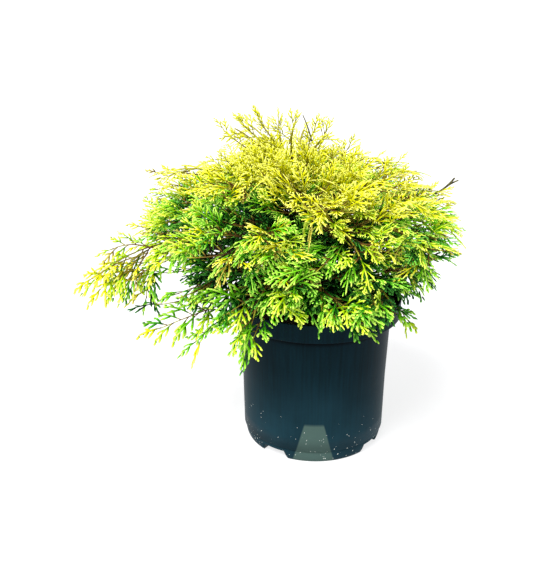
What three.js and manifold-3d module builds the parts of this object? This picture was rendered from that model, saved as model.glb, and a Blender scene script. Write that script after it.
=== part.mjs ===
// A dwarf hinoki cypress in a nursery pot: golden, spreading, with flat fan-shaped sprays.
// Millimetres, +Z up. The origin is the middle of the pot's underside, and -Y is the front.
import * as THREE from "three";
import { mergeVertices } from "three/addons/utils/BufferGeometryUtils.js";
import Module from "manifold-3d";

const wasm = await Module();
wasm.setup();

// ---- driving dimensions -------------------------------------------------------------------

const GAP = 0.3; // air left between two solids that meet

const POT = {
  height: 170,
  rimRadius: 95,
  rimRounding: 1, // up the outside of the rim; half of it across
  collarHeight: 21,
  collarLip: 1, // the flat underside of the collar rises by this much outwards
  shoulderRadius: 84, // outside of the body, just under the collar
  footRadius: 78.5, // outside of the body, just above its rounded bottom edge
  cornerWidth: 4.5, // the rounded bottom edge, across and up
  cornerHeight: 14,
  wall: 1.5,
  segments: 36,
};

// The arches under the foot that let water out, each with a round hole in its ceiling.
const NOTCH = {
  count: 4,
  first: -126.3,
  height: 10,
  halfWidth: 13,
  flare: 4,
  reach: 21,
  hole: 4.5,
  holeSides: 12,
};

const COMPOST = { top: 163, edgeDrop: 5, flatRadius: 24, clearance: 0.5 };

const TRUNK = {
  height: 138,
  footRadius: 10,
  tipRadius: 2.6,
  taperPower: 0.8, // under 1, so that most of the taper is low down
  flare: 5, // more radius at the root, gone within a few flareHeights
  flareHeight: 5,
  buried: 8, // how far the axis starts below the cut at the compost
  lean: 26,
  sway: 3,
  swayTurns: 1.2,
  sides: 8,
  rings: 8,
  ringPower: 1.4, // over 1, so that the rings crowd towards the root
};

// level is the step in height between neighbouring roots, and lean the share of the trunk's
// own lean that a fork follows. knee is the length of a bough's straight pull before its fork.
const BOUGH = {
  rootRadius: 3.2,
  tipRadius: 2.3,
  sides: 5,
  rings: 4,
  level: 14,
  levelChange: 4.2,
  lean: 0.5,
  knee: 0.5,
};

const STEM = { rootRadius: 2.1, tipRadius: 1, end: 0.75, sunk: 0.02, sides: 3, spans: 4 };

// A twig is the stalk of a spray. angle and tipAngle turn it off the stem, near the root and
// near the tip. lowest and highest are the ends of the swing round the stem that it may take.
const TWIG = {
  radius: 0.9,
  stemShare: 0.45, // its radius is never more than this share of the stem's
  length: 0.16, // of the spray with its twig
  first: 0.06,
  spread: 0.9,
  angle: 54,
  tipAngle: 30,
  lowest: -93,
  highest: 10,
  tries: 6,
  swing: 0.618,
  rootLength: 1.12, // of the tier's twig length, at the stem's root
  shortening: 0.4, // less by this at the stem's tip
  lengthChange: 0.16,
};

// A spray's outline as shares of its length and half width: a neck, teeth with a notch after
// each, and a shoulder before the tip. apex is where its ridge points are, above and below.
const SPRAY = {
  teeth: 2,
  firstTooth: 0.42,
  toothStep: 0.25,
  fullness: 1.1,
  notchStep: 0.09,
  notchDepth: 0.42,
  neck: 0.06,
  shoulder: [0.86, 0.46],
  apex: 0.42,
  slimness: 0.45,
  thickness: 1.8,
  twist: 20,
  sizes: [1.15, 1, 0.85, 0.7, 0.56],
};

// Air that foliage leaves: to a neighbour's space, a limb, another spray, the pot, the ground.
const AIR = { space: 1.5, limb: 4.5, spray: 3.9, pot: 2, ground: 4 };

// The space that the crown fills: a rounded box, wider than it is tall, flatter underneath.
const CROWN = {
  middle: [-14, 0, 214],
  across: 178,
  deep: 168,
  up: 152,
  down: 84,
  power: 2.6,
  tilt: 0.04,
};

// Which choice a seeded number is for. MIX picks one crown out of the many that the rule gives.
const CHOICE = { turn: 1, reach: 2, tip: 3, place: 4, length: 5, tilt: 6, twist: 7, level: 8, roll: 9 };
const MIX = 805;

// Tiers of growth, lowest first. Angles run from +X towards +Y, so 270 is the front.
// root: height of the limb's root on the trunk. fork: where a bough ends and its foliage
// begins. bend: what the foliage stem arches over. Each is a radius and a height, and bend and
// the tips are measured from a middle moved along X by shift. Each stem ends with a spray whose
// tip is at reach and tip. twig is the length of a full spray with its twig, twigs their number
// on each stem, droop how far they nod and roll how far a whole mass may turn on its stem.
// tilted: the tips follow the crown's tilt.
const TIERS = [
  {
    name: "skirt",
    root: 10,
    fork: [56, 196],
    bend: [112, 238],
    shift: 0,
    twig: 58,
    twigs: 7,
    droop: 0.35,
    roll: 10,
    tilted: false,
    boughs: [
      { turn: 10, reach: 128, tip: 178 },
      { turn: 40, reach: 150, tip: 172 },
      { turn: 76, reach: 150, tip: 168 },
      { turn: 112, reach: 152, tip: 170 },
      { turn: 148, reach: 158, tip: 172 },
      { turn: 178, reach: 164, tip: 168 },
      { turn: 206, reach: 180, tip: 142 },
      { turn: 238, reach: 142, tip: 142 },
      { turn: 270, reach: 134, tip: 172 },
      { turn: 303, reach: 148, tip: 170 },
      { turn: 333, reach: 126, tip: 170 },
    ],
  },
  {
    name: "shoulder",
    root: 42,
    fork: [44, 242],
    bend: [114, 297],
    shift: -5,
    twig: 58,
    twigs: 9,
    droop: 0.19,
    roll: 12,
    tilted: true,
    boughs: around(10, 28, { reach: 178, change: 5 }, { tip: 229, change: 10 }),
  },
  {
    name: "upper",
    root: 72,
    bend: [84, 339],
    shift: -14,
    twig: 58,
    twigs: 10,
    droop: 0.02,
    roll: 14,
    tilted: true,
    boughs: [
      { turn: 10, reach: 164, tip: 290 },
      { turn: 52, reach: 158, tip: 274 },
      { turn: 96, reach: 158, tip: 272 },
      { turn: 141, reach: 160, tip: 278 },
      { turn: 184, reach: 174, tip: 290 },
      { turn: 228, reach: 164, tip: 282 },
      { turn: 273, reach: 158, tip: 274 },
      { turn: 318, reach: 162, tip: 282 },
    ],
  },
  {
    name: "crown",
    root: 108,
    bend: [24, 352],
    shift: -36,
    twig: 50,
    twigs: 8,
    droop: 0,
    roll: 20,
    tilted: true,
    boughs: [
      { turn: 62, reach: 66, tip: 346 },
      { turn: 134, reach: 82, tip: 350 },
      { turn: 206, reach: 84, tip: 361 },
      { turn: 278, reach: 76, tip: 364 },
      { turn: 340, reach: 66, tip: 354 },
    ],
  },
  {
    name: "long",
    root: 34,
    fork: [122, 232],
    bend: [190, 242],
    shift: 0,
    twig: 46,
    twigs: 9,
    droop: 0.2,
    roll: 0,
    tilted: false,
    boughs: [{ turn: 190, reach: 257, tip: 184, roll: -40 }],
  },
];

// count boughs spread evenly round the trunk, with a seeded change of turn, reach and tip height.
function around(count, first, reach, tip) {
  return Array.from({ length: count }, (_, i) => ({
    turn: first + (360 * (i + 0.35 * (seeded(count, i, CHOICE.turn) - 0.5))) / count,
    reach: reach.reach + reach.change * (2 * seeded(count, i, CHOICE.reach) - 1),
    tip: tip.tip + tip.change * (2 * seeded(count, i, CHOICE.tip) - 1),
  }));
}

// A number from 0 to 1 that depends only on its three whole numbers.
function seeded(a, b, c) {
  const v = Math.sin(a * 12.9898 + b * 78.233 + c * 37.719) * 43758.5453;
  return v - Math.floor(v);
}

const UP = new THREE.Vector3(0, 0, 1);
const radians = THREE.MathUtils.degToRad;

function polar(turn, radius, z) {
  return new THREE.Vector3(radius * Math.cos(radians(turn)), radius * Math.sin(radians(turn)), z);
}

// ---- solids -------------------------------------------------------------------------------

// A closed geometry as a manifold solid.
function solid(geometry) {
  const bare = geometry.index ? geometry.toNonIndexed() : geometry.clone();
  bare.deleteAttribute("normal");
  bare.deleteAttribute("uv");
  const merged = mergeVertices(bare, 1e-4);
  return new wasm.Manifold(
    new wasm.Mesh({
      numProp: 3,
      vertProperties: new Float32Array(merged.attributes.position.array),
      triVerts: new Uint32Array(merged.index.array),
    }),
  );
}

// The largest body of a solid, without its loose scraps.
function whole(made) {
  return made.decompose().reduce((a, b) => (b.volume() > a.volume() ? b : a));
}

function geometryOf(made) {
  const mesh = made.getMesh();
  return new THREE.BufferGeometry()
    .setAttribute("position", new THREE.BufferAttribute(mesh.vertProperties, 3))
    .setIndex(new THREE.BufferAttribute(mesh.triVerts, 1));
}

// A limb along a curve: rings of corners, each square to the curve, joined by flat faces.
// stops are the shares of the curve where the rings sit, and radii gives one radius for each.
function limbGeometry(curve, stops, radii, sides) {
  const corners = [];
  const faces = [];
  const last = stops.length - 1;
  const across = new THREE.Vector3();
  stops.forEach((stop, i) => {
    const along = curve.getTangent(stop);
    if (i === 0) {
      const reference = Math.abs(along.z) < 0.9 ? UP : new THREE.Vector3(1, 0, 0);
      across.crossVectors(along, reference);
    }
    across.addScaledVector(along, -across.dot(along)).normalize();
    const other = new THREE.Vector3().crossVectors(along, across);
    for (let k = 0; k < sides; k++) {
      const angle = (2 * Math.PI * k) / sides;
      corners.push(
        curve
          .getPoint(stop)
          .addScaledVector(across, radii[i] * Math.cos(angle))
          .addScaledVector(other, radii[i] * Math.sin(angle)),
      );
    }
  });
  for (let i = 0; i < last; i++)
    for (let k = 0; k < sides; k++) {
      const [a, b] = [i * sides + k, i * sides + ((k + 1) % sides)];
      faces.push(a, b, b + sides, a, b + sides, a + sides);
    }
  for (let k = 1; k < sides - 1; k++) {
    faces.push(0, k + 1, k);
    faces.push(last * sides, last * sides + k, last * sides + k + 1);
  }
  return new THREE.BufferGeometry().setFromPoints(corners).setIndex(faces);
}

// A curve followed in a few straight spans, which keeps the curve's own directions.
class Jointed extends THREE.Curve {
  constructor(smooth, spans) {
    super();
    this.smooth = smooth;
    this.joints = smooth.getPoints(spans);
  }
  getPoint(t) {
    const spans = this.joints.length - 1;
    const i = Math.min(Math.floor(t * spans), spans - 1);
    return this.joints[i].clone().lerp(this.joints[i + 1], t * spans - i);
  }
  getTangent(t) {
    return this.smooth.getTangent(t);
  }
}

// A limb that tapers evenly from its root to its end.
function taperedLimb(curve, rings, from, to, sides, end = 1) {
  const steps = Array.from({ length: rings }, (_, i) => i / (rings - 1));
  return limbGeometry(
    curve,
    steps.map((step) => end * step),
    steps.map((step) => from + (to - from) * step),
    sides,
  );
}

// ---- pot and compost ----------------------------------------------------------------------

// The body's outside as a lathe profile, moved inwards by inset.
function potProfile(inset) {
  const collarFoot = POT.height - POT.collarHeight;
  const points = [new THREE.Vector2(0, inset)];
  for (const angle of [0, Math.PI / 4, Math.PI / 2]) {
    const across = POT.footRadius - inset - POT.cornerWidth * (1 - Math.sin(angle));
    points.push(new THREE.Vector2(across, inset + POT.cornerHeight * (1 - Math.cos(angle))));
  }
  const lip = POT.collarLip;
  points.push(new THREE.Vector2(POT.shoulderRadius - inset, collarFoot + 0.5 * inset));
  points.push(new THREE.Vector2(POT.rimRadius - inset - lip, collarFoot + lip + inset));
  return points;
}

function revolve(points) {
  return solid(new THREE.LatheGeometry(points, POT.segments).rotateX(Math.PI / 2));
}

// A block for each foot notch, seen from outside a trapezium that widens downwards.
function notchBlocks(grow) {
  const low = NOTCH.halfWidth + NOTCH.flare + grow;
  const high = NOTCH.halfWidth + grow;
  const shape = new THREE.Shape([
    new THREE.Vector2(-low, -1),
    new THREE.Vector2(low, -1),
    new THREE.Vector2(high, NOTCH.height + grow),
    new THREE.Vector2(-high, NOTCH.height + grow),
  ]);
  const inner = POT.footRadius - NOTCH.reach - grow;
  const depth = POT.footRadius - inner + 1;
  let blocks = null;
  for (let i = 0; i < NOTCH.count; i++) {
    const block = new THREE.ExtrudeGeometry(shape, { depth, bevelEnabled: false })
      .rotateX(Math.PI / 2)
      .rotateZ(Math.PI / 2)
      .translate(inner, 0, 0)
      .rotateZ(radians(notchTurn(i)));
    blocks = blocks ? blocks.add(solid(block)) : solid(block);
  }
  return blocks;
}

function notchTurn(i) {
  return NOTCH.first + (360 * i) / NOTCH.count;
}

function potSolid() {
  const rim = [
    new THREE.Vector2(POT.rimRadius, POT.height - POT.rimRounding),
    new THREE.Vector2(POT.rimRadius - POT.rimRounding / 2, POT.height),
    new THREE.Vector2(0, POT.height),
  ];
  const outside = revolve([...potProfile(0), ...rim]).subtract(notchBlocks(0));
  const mouth = [
    new THREE.Vector2(POT.rimRadius - POT.wall, POT.height + 1),
    new THREE.Vector2(0, POT.height + 1),
  ];
  const inside = revolve([...potProfile(POT.wall), ...mouth]).subtract(notchBlocks(POT.wall));
  let pot = outside.subtract(inside);
  for (let i = 0; i < NOTCH.count; i++) {
    const centre = polar(notchTurn(i), POT.footRadius - NOTCH.reach / 2, NOTCH.height);
    const drain = new THREE.CylinderGeometry(NOTCH.hole, NOTCH.hole, 4 * POT.wall, NOTCH.holeSides)
      .rotateX(Math.PI / 2)
      .translate(centre.x, centre.y, centre.z);
    pot = pot.subtract(solid(drain));
  }
  return whole(pot);
}

function compostSolid() {
  const inset = POT.wall + COMPOST.clearance;
  const brim = POT.rimRadius - inset - 1;
  const top = [
    new THREE.Vector2(brim, COMPOST.top - COMPOST.edgeDrop),
    new THREE.Vector2(COMPOST.flatRadius, COMPOST.top),
    new THREE.Vector2(0, COMPOST.top),
  ];
  return whole(revolve([...potProfile(inset), ...top]).subtract(notchBlocks(inset)));
}

// ---- woody limbs --------------------------------------------------------------------------

// The trunk's axis: it leans to the left and sways once on its way up.
function trunkPoint(rise) {
  const share = rise / TRUNK.height;
  return new THREE.Vector3(
    -TRUNK.lean * share - TRUNK.sway * Math.sin(2 * Math.PI * TRUNK.swayTurns * share),
    TRUNK.sway * Math.sin(2 * Math.PI * share),
    COMPOST.top + GAP + rise,
  );
}

// The same axis as a curve, from a little below the compost's top.
class TrunkCurve extends THREE.Curve {
  getPoint(t) {
    return trunkPoint(-TRUNK.buried + (TRUNK.height + TRUNK.buried) * t);
  }
}

function trunkRadius(rise) {
  const up = Math.max(rise, 0);
  const taper = (TRUNK.tipRadius - TRUNK.footRadius) * (up / TRUNK.height) ** TRUNK.taperPower;
  return TRUNK.footRadius + taper + TRUNK.flare * Math.exp(-up / TRUNK.flareHeight);
}

const trunkLine = new TrunkCurve();

// The trunk with its radius grown. Grown, it cuts a limb's root to fit; as it is, it is cut
// off level just above the compost.
function trunkSolid(grow) {
  const shares = Array.from({ length: TRUNK.rings + 1 }, (_, i) => i / TRUNK.rings);
  const stops = shares.map((share) => share ** TRUNK.ringPower);
  const length = TRUNK.height + TRUNK.buried;
  const radii = stops.map((stop) => trunkRadius(length * stop - TRUNK.buried) + grow);
  const made = solid(limbGeometry(trunkLine, stops, radii, TRUNK.sides));
  if (grow) return made;
  const side = 2 * length;
  const air = new THREE.BoxGeometry(side, side, side);
  return whole(made.intersect(solid(air.translate(0, 0, COMPOST.top + GAP + side / 2))));
}

// Every limb as points with a radius, about 2 mm apart, to measure foliage from.
const limbs = [];

function remember(owner, curve, from, to, end = 1) {
  const steps = Math.ceil((end * curve.getPoint(0).distanceTo(curve.getPoint(end))) / 1.8);
  const shares = Array.from({ length: steps + 1 }, (_, i) => i / steps);
  const limb = {
    owner,
    points: shares.map((share) => curve.getPoint(end * share)),
    radii: shares.map((share) => from + (to - from) * share),
  };
  limbs.push(limb);
  return limb;
}

// ---- foliage ------------------------------------------------------------------------------

// One spray on its twig: a toothed outline in one plane, with one ridge point above and one
// below. Its twig is a three-sided stalk that ends at root.
// across is the direction of its teeth and face the direction that it faces.
function sprayPoints(root, along, across, face, length, twigRadius) {
  const start = root.clone().addScaledVector(along, TWIG.length * length);
  const blade = length * (1 - TWIG.length);
  const width = SPRAY.slimness * blade;
  const at = (u, v) =>
    start.clone().addScaledVector(along, u * blade).addScaledVector(across, v * width);
  const half = [[0, SPRAY.neck]];
  for (let i = 0; i < SPRAY.teeth; i++) {
    const share = SPRAY.firstTooth + SPRAY.toothStep * i;
    const spread = Math.sin(Math.PI * share ** SPRAY.fullness);
    half.push([share, spread], [share + SPRAY.notchStep, SPRAY.notchDepth * spread]);
  }
  half.push(SPRAY.shoulder);
  const ring = [
    root.clone().addScaledVector(across, -twigRadius),
    root.clone().addScaledVector(face, twigRadius),
    root.clone().addScaledVector(across, twigRadius),
  ];
  const outline = half.map(([u, v]) => at(u, v));
  outline.push(at(1, 0), ...half.reverse().map(([u, v]) => at(u, -v)));
  const middle = at(SPRAY.apex, 0);
  return {
    ring,
    outline,
    top: middle.clone().addScaledVector(face, SPRAY.thickness / 2),
    under: middle.clone().addScaledVector(face, -SPRAY.thickness / 2),
  };
}

function sprayGeometry({ ring, outline, top, under }) {
  const last = outline.length - 1;
  const faces = [];
  const [over, below, left, above, right] = [1, 2, 3, 4, 5].map((step) => last + step);
  for (let i = 0; i < last; i++) faces.push(i + 1, i, over, i, i + 1, below);
  faces.push(over, 0, above, over, above, last, 0, right, above, last, above, left);
  faces.push(below, right, 0, below, left, right, below, last, left, right, left, above);
  return new THREE.BufferGeometry()
    .setFromPoints([...outline, top, under, ...ring])
    .setIndex(faces);
}

// The points of a spray that are measured: its corners, points halfway in, and its rib.
function samplesOf({ ring, outline, top }) {
  const root = ring[0].clone().add(ring[2]).multiplyScalar(0.5);
  const tip = outline[(outline.length - 1) / 2];
  const corners = outline.slice(1, -1);
  const inner = corners.map((corner) => corner.clone().lerp(top, 0.5));
  const rib = [0.6, 0.85].map((share) => root.clone().lerp(tip, share));
  return [...corners, ...inner, ...rib];
}

function nearest(points, point) {
  const least = points.reduce((a, p) => Math.min(a, p.distanceToSquared(point)), Infinity);
  return Math.sqrt(least);
}

// What each mass may fill: the points nearer to its own stem than to any other's.
function inSpace(mass, masses, point) {
  const own = nearest(mass.axis.points, point) + 2 * AIR.space;
  return masses.every((other) => other === mass || nearest(other.axis.points, point) > own);
}

// A mass keeps inside the crown's rounded box, or no further out than its own tip.
function inCrown(mass, point) {
  const [x, y, z] = CROWN.middle;
  const size = (p) => {
    const height = (p.z - z) / (p.z > z ? CROWN.up : CROWN.down);
    const parts = [(p.x - x) / CROWN.across, (p.y - y) / CROWN.deep, height];
    return parts.reduce((sum, part) => sum + Math.abs(part) ** CROWN.power, 0);
  };
  return size(point) < Math.max(1, size(mass.tip));
}

function clearOfPot(point) {
  const beside = Math.hypot(point.x, point.y) > POT.rimRadius + AIR.pot;
  return point.z > (beside ? AIR.ground : POT.height + AIR.pot);
}

function clearOfLimbs(mass, point) {
  return limbs.every(({ owner, points, radii }) => {
    if (owner === mass) return true;
    return points.every((p, i) => p.distanceToSquared(point) > (radii[i] + AIR.limb) ** 2);
  });
}

// A spray's place: its root on the stem and the directions of its length, teeth and face.
// angle turns it off the stem to one side, and tilt turns it round the stem, upwards.
function placed(mass, share, angle, tilt, side, order) {
  const forward = mass.stem.getTangent(share);
  const level = new THREE.Vector3().crossVectors(UP, forward).normalize();
  level.applyAxisAngle(forward, mass.roll);
  const rise = new THREE.Vector3().crossVectors(forward, level);
  const out = level.clone().multiplyScalar(side * Math.cos(tilt));
  out.addScaledVector(rise, Math.sin(tilt));
  const face = rise.multiplyScalar(Math.cos(tilt)).addScaledVector(level, -side * Math.sin(tilt));
  const along = forward.multiplyScalar(Math.cos(angle)).addScaledVector(out, Math.sin(angle));
  if (angle) along.addScaledVector(UP, -mass.tier.droop).normalize();
  face.addScaledVector(along, -face.dot(along)).normalize();
  const turn = seeded(mass.number, order, CHOICE.twist) - 0.5;
  face.applyAxisAngle(along, radians(SPRAY.twist) * turn);
  const teeth = new THREE.Vector3().crossVectors(face, along);
  return { root: mass.stem.getPoint(share), along, teeth, face };
}

// The largest spray that fits at a place on the stem, trying several tilts at each size.
function largestSpray(mass, masses, share, angle, tilts, side, length, order) {
  const taper = (STEM.tipRadius - STEM.rootRadius) * (share / STEM.end);
  const twigRadius = Math.min(TWIG.radius, TWIG.stemShare * (STEM.rootRadius + taper));
  const apart = (p) => nearest(mass.taken, p) > AIR.spray;
  const inside = (p) => inCrown(mass, p) && inSpace(mass, masses, p);
  const clear = (p) => clearOfPot(p) && clearOfLimbs(mass, p);
  for (const size of SPRAY.sizes)
    for (const tilt of tilts) {
      const { root, along, teeth, face } = placed(mass, share, angle, radians(tilt), side, order);
      const spray = sprayPoints(root, along, teeth, face, length * size, twigRadius);
      const samples = samplesOf(spray);
      if (!samples.every((p) => apart(p) && inside(p) && clear(p))) continue;
      mass.taken.push(...samples);
      return spray;
    }
  return null;
}

// A stem with a spray at its tip and twigs on alternate sides, each ending in a spray.
function foliageSolid(mass, masses, trunkSleeve) {
  const { stem, tier, number } = mass;
  let made = solid(
    taperedLimb(stem, STEM.spans, STEM.rootRadius, STEM.tipRadius, STEM.sides, STEM.end),
  );
  if (trunkSleeve) made = whole(made.subtract(trunkSleeve));
  const end = STEM.end - STEM.sunk;
  const last = stem.getPoint(end).distanceTo(mass.tip);
  const sprays = [largestSpray(mass, masses, end, 0, [0], 1, last, tier.twigs)];
  for (let k = tier.twigs - 1; k >= 0; k--) {
    const place = (k + 0.5 * seeded(number, k, CHOICE.place)) / tier.twigs;
    const share = STEM.end * (TWIG.first + TWIG.spread * place);
    const change = 1 + TWIG.lengthChange * (seeded(number, k, CHOICE.length) - 0.5);
    const length = tier.twig * (TWIG.rootLength - TWIG.shortening * share) * change;
    const angle = radians(TWIG.angle + (TWIG.tipAngle - TWIG.angle) * share);
    const tilts = Array.from({ length: TWIG.tries }, (_, step) => {
      const swing = (TWIG.swing * (k + 2 * step) + seeded(number, MIX, CHOICE.tilt)) % 1;
      return TWIG.lowest + (TWIG.highest - TWIG.lowest) * swing;
    });
    const side = k % 2 ? 1 : -1;
    sprays.push(largestSpray(mass, masses, share, angle, tilts, side, length, k));
  }
  for (const spray of sprays.filter(Boolean)) made = made.add(solid(sprayGeometry(spray)));
  return whole(made);
}

// ---- assembly -----------------------------------------------------------------------------

const plant = new THREE.Group();
const finish = {
  pot: new THREE.MeshStandardMaterial({ color: 0x1c2d35, roughness: 0.45 }),
  compost: new THREE.MeshStandardMaterial({ color: 0x2b1d14, roughness: 0.95 }),
  bark: new THREE.MeshStandardMaterial({ color: 0x4a3226, roughness: 0.9 }),
  skirt: new THREE.MeshStandardMaterial({ color: 0x79b51f, roughness: 0.6 }),
  shoulder: new THREE.MeshStandardMaterial({ color: 0xa3c81e, roughness: 0.6 }),
  upper: new THREE.MeshStandardMaterial({ color: 0xd2d820, roughness: 0.6 }),
  crown: new THREE.MeshStandardMaterial({ color: 0xe2e024, roughness: 0.6 }),
  long: new THREE.MeshStandardMaterial({ color: 0xb4cc20, roughness: 0.6 }),
};

function addNode(name, made, material) {
  const mesh = new THREE.Mesh(geometryOf(made), material);
  mesh.name = name;
  plant.add(mesh);
}

addNode("pot", potSolid(), finish.pot);
addNode("compost", compostSolid(), finish.compost);
addNode("trunk", trunkSolid(0), finish.bark);
remember("trunk", trunkLine, TRUNK.footRadius, TRUNK.tipRadius + 1);

// A bough from its root in the trunk to its fork, with its last third straight towards bend.
function growBough(name, root, fork, ahead) {
  const knee = fork.clone().addScaledVector(ahead, -BOUGH.knee * root.distanceTo(fork));
  const limb = new THREE.QuadraticBezierCurve3(root, knee, fork);
  const made = solid(taperedLimb(limb, BOUGH.rings, BOUGH.rootRadius, BOUGH.tipRadius, BOUGH.sides));
  addNode(name, whole(made.subtract(sleeve)), finish.bark);
  remember("bough", limb, BOUGH.rootRadius, BOUGH.tipRadius);
}

const sleeve = trunkSolid(GAP);
const masses = [];
for (const tier of TIERS)
  tier.boughs.forEach((bough, i) => {
    const number = masses.length;
    const label = String(i + 1).padStart(2, "0");
    const change = BOUGH.levelChange * (seeded(number, 0, CHOICE.level) - 0.5);
    const root = trunkPoint(tier.root + BOUGH.level * (i % 2) + change);
    const bend = polar(bough.turn, ...tier.bend);
    const tip = polar(bough.turn, bough.reach, bough.tip);
    bend.x += tier.shift;
    tip.x += tier.shift;
    bend.z -= CROWN.tilt * bend.x;
    if (tier.tilted) tip.z -= CROWN.tilt * tip.x;
    let start = root;
    if (tier.fork) {
      const fork = polar(bough.turn, ...tier.fork);
      fork.addScaledVector(root.clone().setZ(0), BOUGH.lean);
      const ahead = bend.clone().sub(fork).normalize();
      growBough(`${tier.name}_bough_${label}`, root, fork, ahead);
      start = fork.clone().addScaledVector(ahead, GAP);
    }
    const stem = new Jointed(new THREE.QuadraticBezierCurve3(start, bend, tip), STEM.spans);
    const roll = radians(bough.roll ?? tier.roll * (2 * seeded(number, 0, CHOICE.roll) - 1));
    const mass = { name: `${tier.name}_foliage_${label}`, number, tier, stem, tip, roll, taken: [] };
    mass.axis = remember(mass, stem, STEM.rootRadius, STEM.tipRadius, STEM.end);
    masses.push(mass);
  });

for (const mass of masses) {
  const trunkSleeve = mass.tier.fork ? null : sleeve;
  addNode(mass.name, foliageSolid(mass, masses, trunkSleeve), finish[mass.tier.name]);
}

export default plant;
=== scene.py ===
"""A dwarf hinoki cypress in its nursery pot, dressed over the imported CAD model."""

import bpy
import numpy as np
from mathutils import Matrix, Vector


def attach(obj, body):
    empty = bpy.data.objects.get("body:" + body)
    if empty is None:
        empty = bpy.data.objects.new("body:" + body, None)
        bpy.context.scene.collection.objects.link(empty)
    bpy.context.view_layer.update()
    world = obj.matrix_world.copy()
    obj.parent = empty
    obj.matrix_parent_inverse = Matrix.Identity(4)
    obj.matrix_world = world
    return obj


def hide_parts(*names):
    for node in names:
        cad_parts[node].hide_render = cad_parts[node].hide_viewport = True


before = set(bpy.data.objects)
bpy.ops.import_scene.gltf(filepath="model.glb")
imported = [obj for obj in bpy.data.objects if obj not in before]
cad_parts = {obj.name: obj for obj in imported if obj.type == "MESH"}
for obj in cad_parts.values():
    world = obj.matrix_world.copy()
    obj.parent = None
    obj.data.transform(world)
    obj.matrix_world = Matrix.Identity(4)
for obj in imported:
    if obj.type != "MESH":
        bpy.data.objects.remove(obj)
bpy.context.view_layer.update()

# ---- camera ---------------------------------------------------------------------------------
# A short telephoto view from the front, a little above the pot's rim, at 0.9 m from a point
# inside the crown. The lens is given for a 36 mm sensor along the picture's longer side.
CAMERA_DISTANCE = 0.900
CAMERA_RISE = np.radians(20.5)
CAMERA_TARGET = Vector((-0.047, 0.0, 0.1764))

eye = bpy.data.cameras.new("camera")
eye.sensor_width = 36
eye.lens = 50.97
camera = bpy.data.objects.new("camera", eye)
backwards = Vector((0, -np.cos(CAMERA_RISE), np.sin(CAMERA_RISE)))
camera.location = CAMERA_TARGET + CAMERA_DISTANCE * backwards
camera.rotation_euler = (-backwards).to_track_quat("-Z", "Y").to_euler()
bpy.context.collection.objects.link(camera)
bpy.context.scene.camera = camera


# ---- studio ---------------------------------------------------------------------------------
# A table of white paper lit from below as well, in a white tent: one broad soft light from
# above, in front and a little to the left, and the tent's own even light from all round.
def linear(colour):
    """An sRGB hex colour as linear RGBA: each channel c becomes ((c + 0.055) / 1.055) ** 2.4,
    or c / 12.92 where it is very dark."""
    c = np.array([int(colour[i:i + 2], 16) for i in (1, 3, 5)]) / 255
    c = np.where(c > 0.04045, ((c + 0.055) / 1.055) ** 2.4, c / 12.92)
    return (*c.tolist(), 1.0)


def set_inputs(tree, node, inputs):
    """Sets a node's inputs, by name or number. An output of another node given as the value
    is linked, and a node given as the value stands for its first output."""
    for key, value in inputs.items():
        if isinstance(value, bpy.types.Node):
            value = value.outputs[0]
        if isinstance(value, bpy.types.NodeSocket):
            tree.links.new(value, node.inputs[key])
        else:
            node.inputs[key].default_value = value


def add_node(tree, kind, inputs=None, stops=(), **settings):
    """A shader node of that kind with its settings and inputs. stops are a colour ramp's first
    and last place and colour, then any between. A pattern's Scale is the number of its cells
    in a metre, so 1000 over their size in mm."""
    node = tree.nodes.new("ShaderNode" + kind)
    for key, value in settings.items():
        setattr(node, key, value)
    for number, (place, colour) in enumerate(stops):
        ramp = node.color_ramp.elements
        stop = ramp[number] if number < 2 else ramp.new(place)
        stop.position, stop.color = place, linear(colour)
    set_inputs(tree, node, inputs or {})
    return node


def make_material(name, recipe, *settings):
    """A material whose shader has the inputs that recipe(tree, *settings) returns, once it has
    added its nodes to the tree."""
    made = bpy.data.materials.new(name)
    made.use_nodes = True
    tree = made.node_tree
    set_inputs(tree, tree.nodes["Principled BSDF"], recipe(tree, *settings))
    return made


lamp = bpy.data.lights.new("skylight", "SUN")
lamp.energy = 4.8
lamp.angle = np.radians(30)
skylight = bpy.data.objects.new("skylight", lamp)
skylight.rotation_euler = Vector((-0.3, -0.5, 0.85)).to_track_quat("Z", "Y").to_euler()
bpy.context.collection.objects.link(skylight)

tent = bpy.data.worlds.new("white tent")
tent.use_nodes = True
cloth = tent.node_tree.nodes["Background"]
set_inputs(tent.node_tree, cloth, {"Color": linear("#fbfcff"), "Strength": 0.55})
bpy.context.scene.world = tent
bpy.context.scene.view_settings.view_transform = "Standard"


# Matt white paper, pressed from short fibres: a broad even scatter with no shine.
def paper(tree):
    """One even tone that also glows, with a very slight bump of 1.1 mm fibres."""
    where = add_node(tree, "TexCoord").outputs["Object"]
    fibres = add_node(tree, "TexNoise", {0: where, "Scale": 900.0, "Detail": 2.0})
    relief = add_node(tree, "Bump", {"Strength": 0.05, "Distance": 0.0002, "Height": fibres})
    return {"Base Color": linear("#959597"), "Normal": relief, "Roughness": 1.0,
            "Specular IOR Level": 0.0, "Emission Color": linear("#ffffff"), "Emission Strength": 0.78}


TABLE = 60
floor_mesh = bpy.data.meshes.new("floor")
table_corners = [(-TABLE, -TABLE, 0), (TABLE, -TABLE, 0), (TABLE, TABLE, 0), (-TABLE, TABLE, 0)]
floor_mesh.from_pydata(table_corners, [], [(0, 1, 2, 3)])
floor_mesh.materials.append(make_material("matt paper", paper))
floor = bpy.data.objects.new("floor", floor_mesh)
bpy.context.collection.objects.link(floor)


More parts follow.
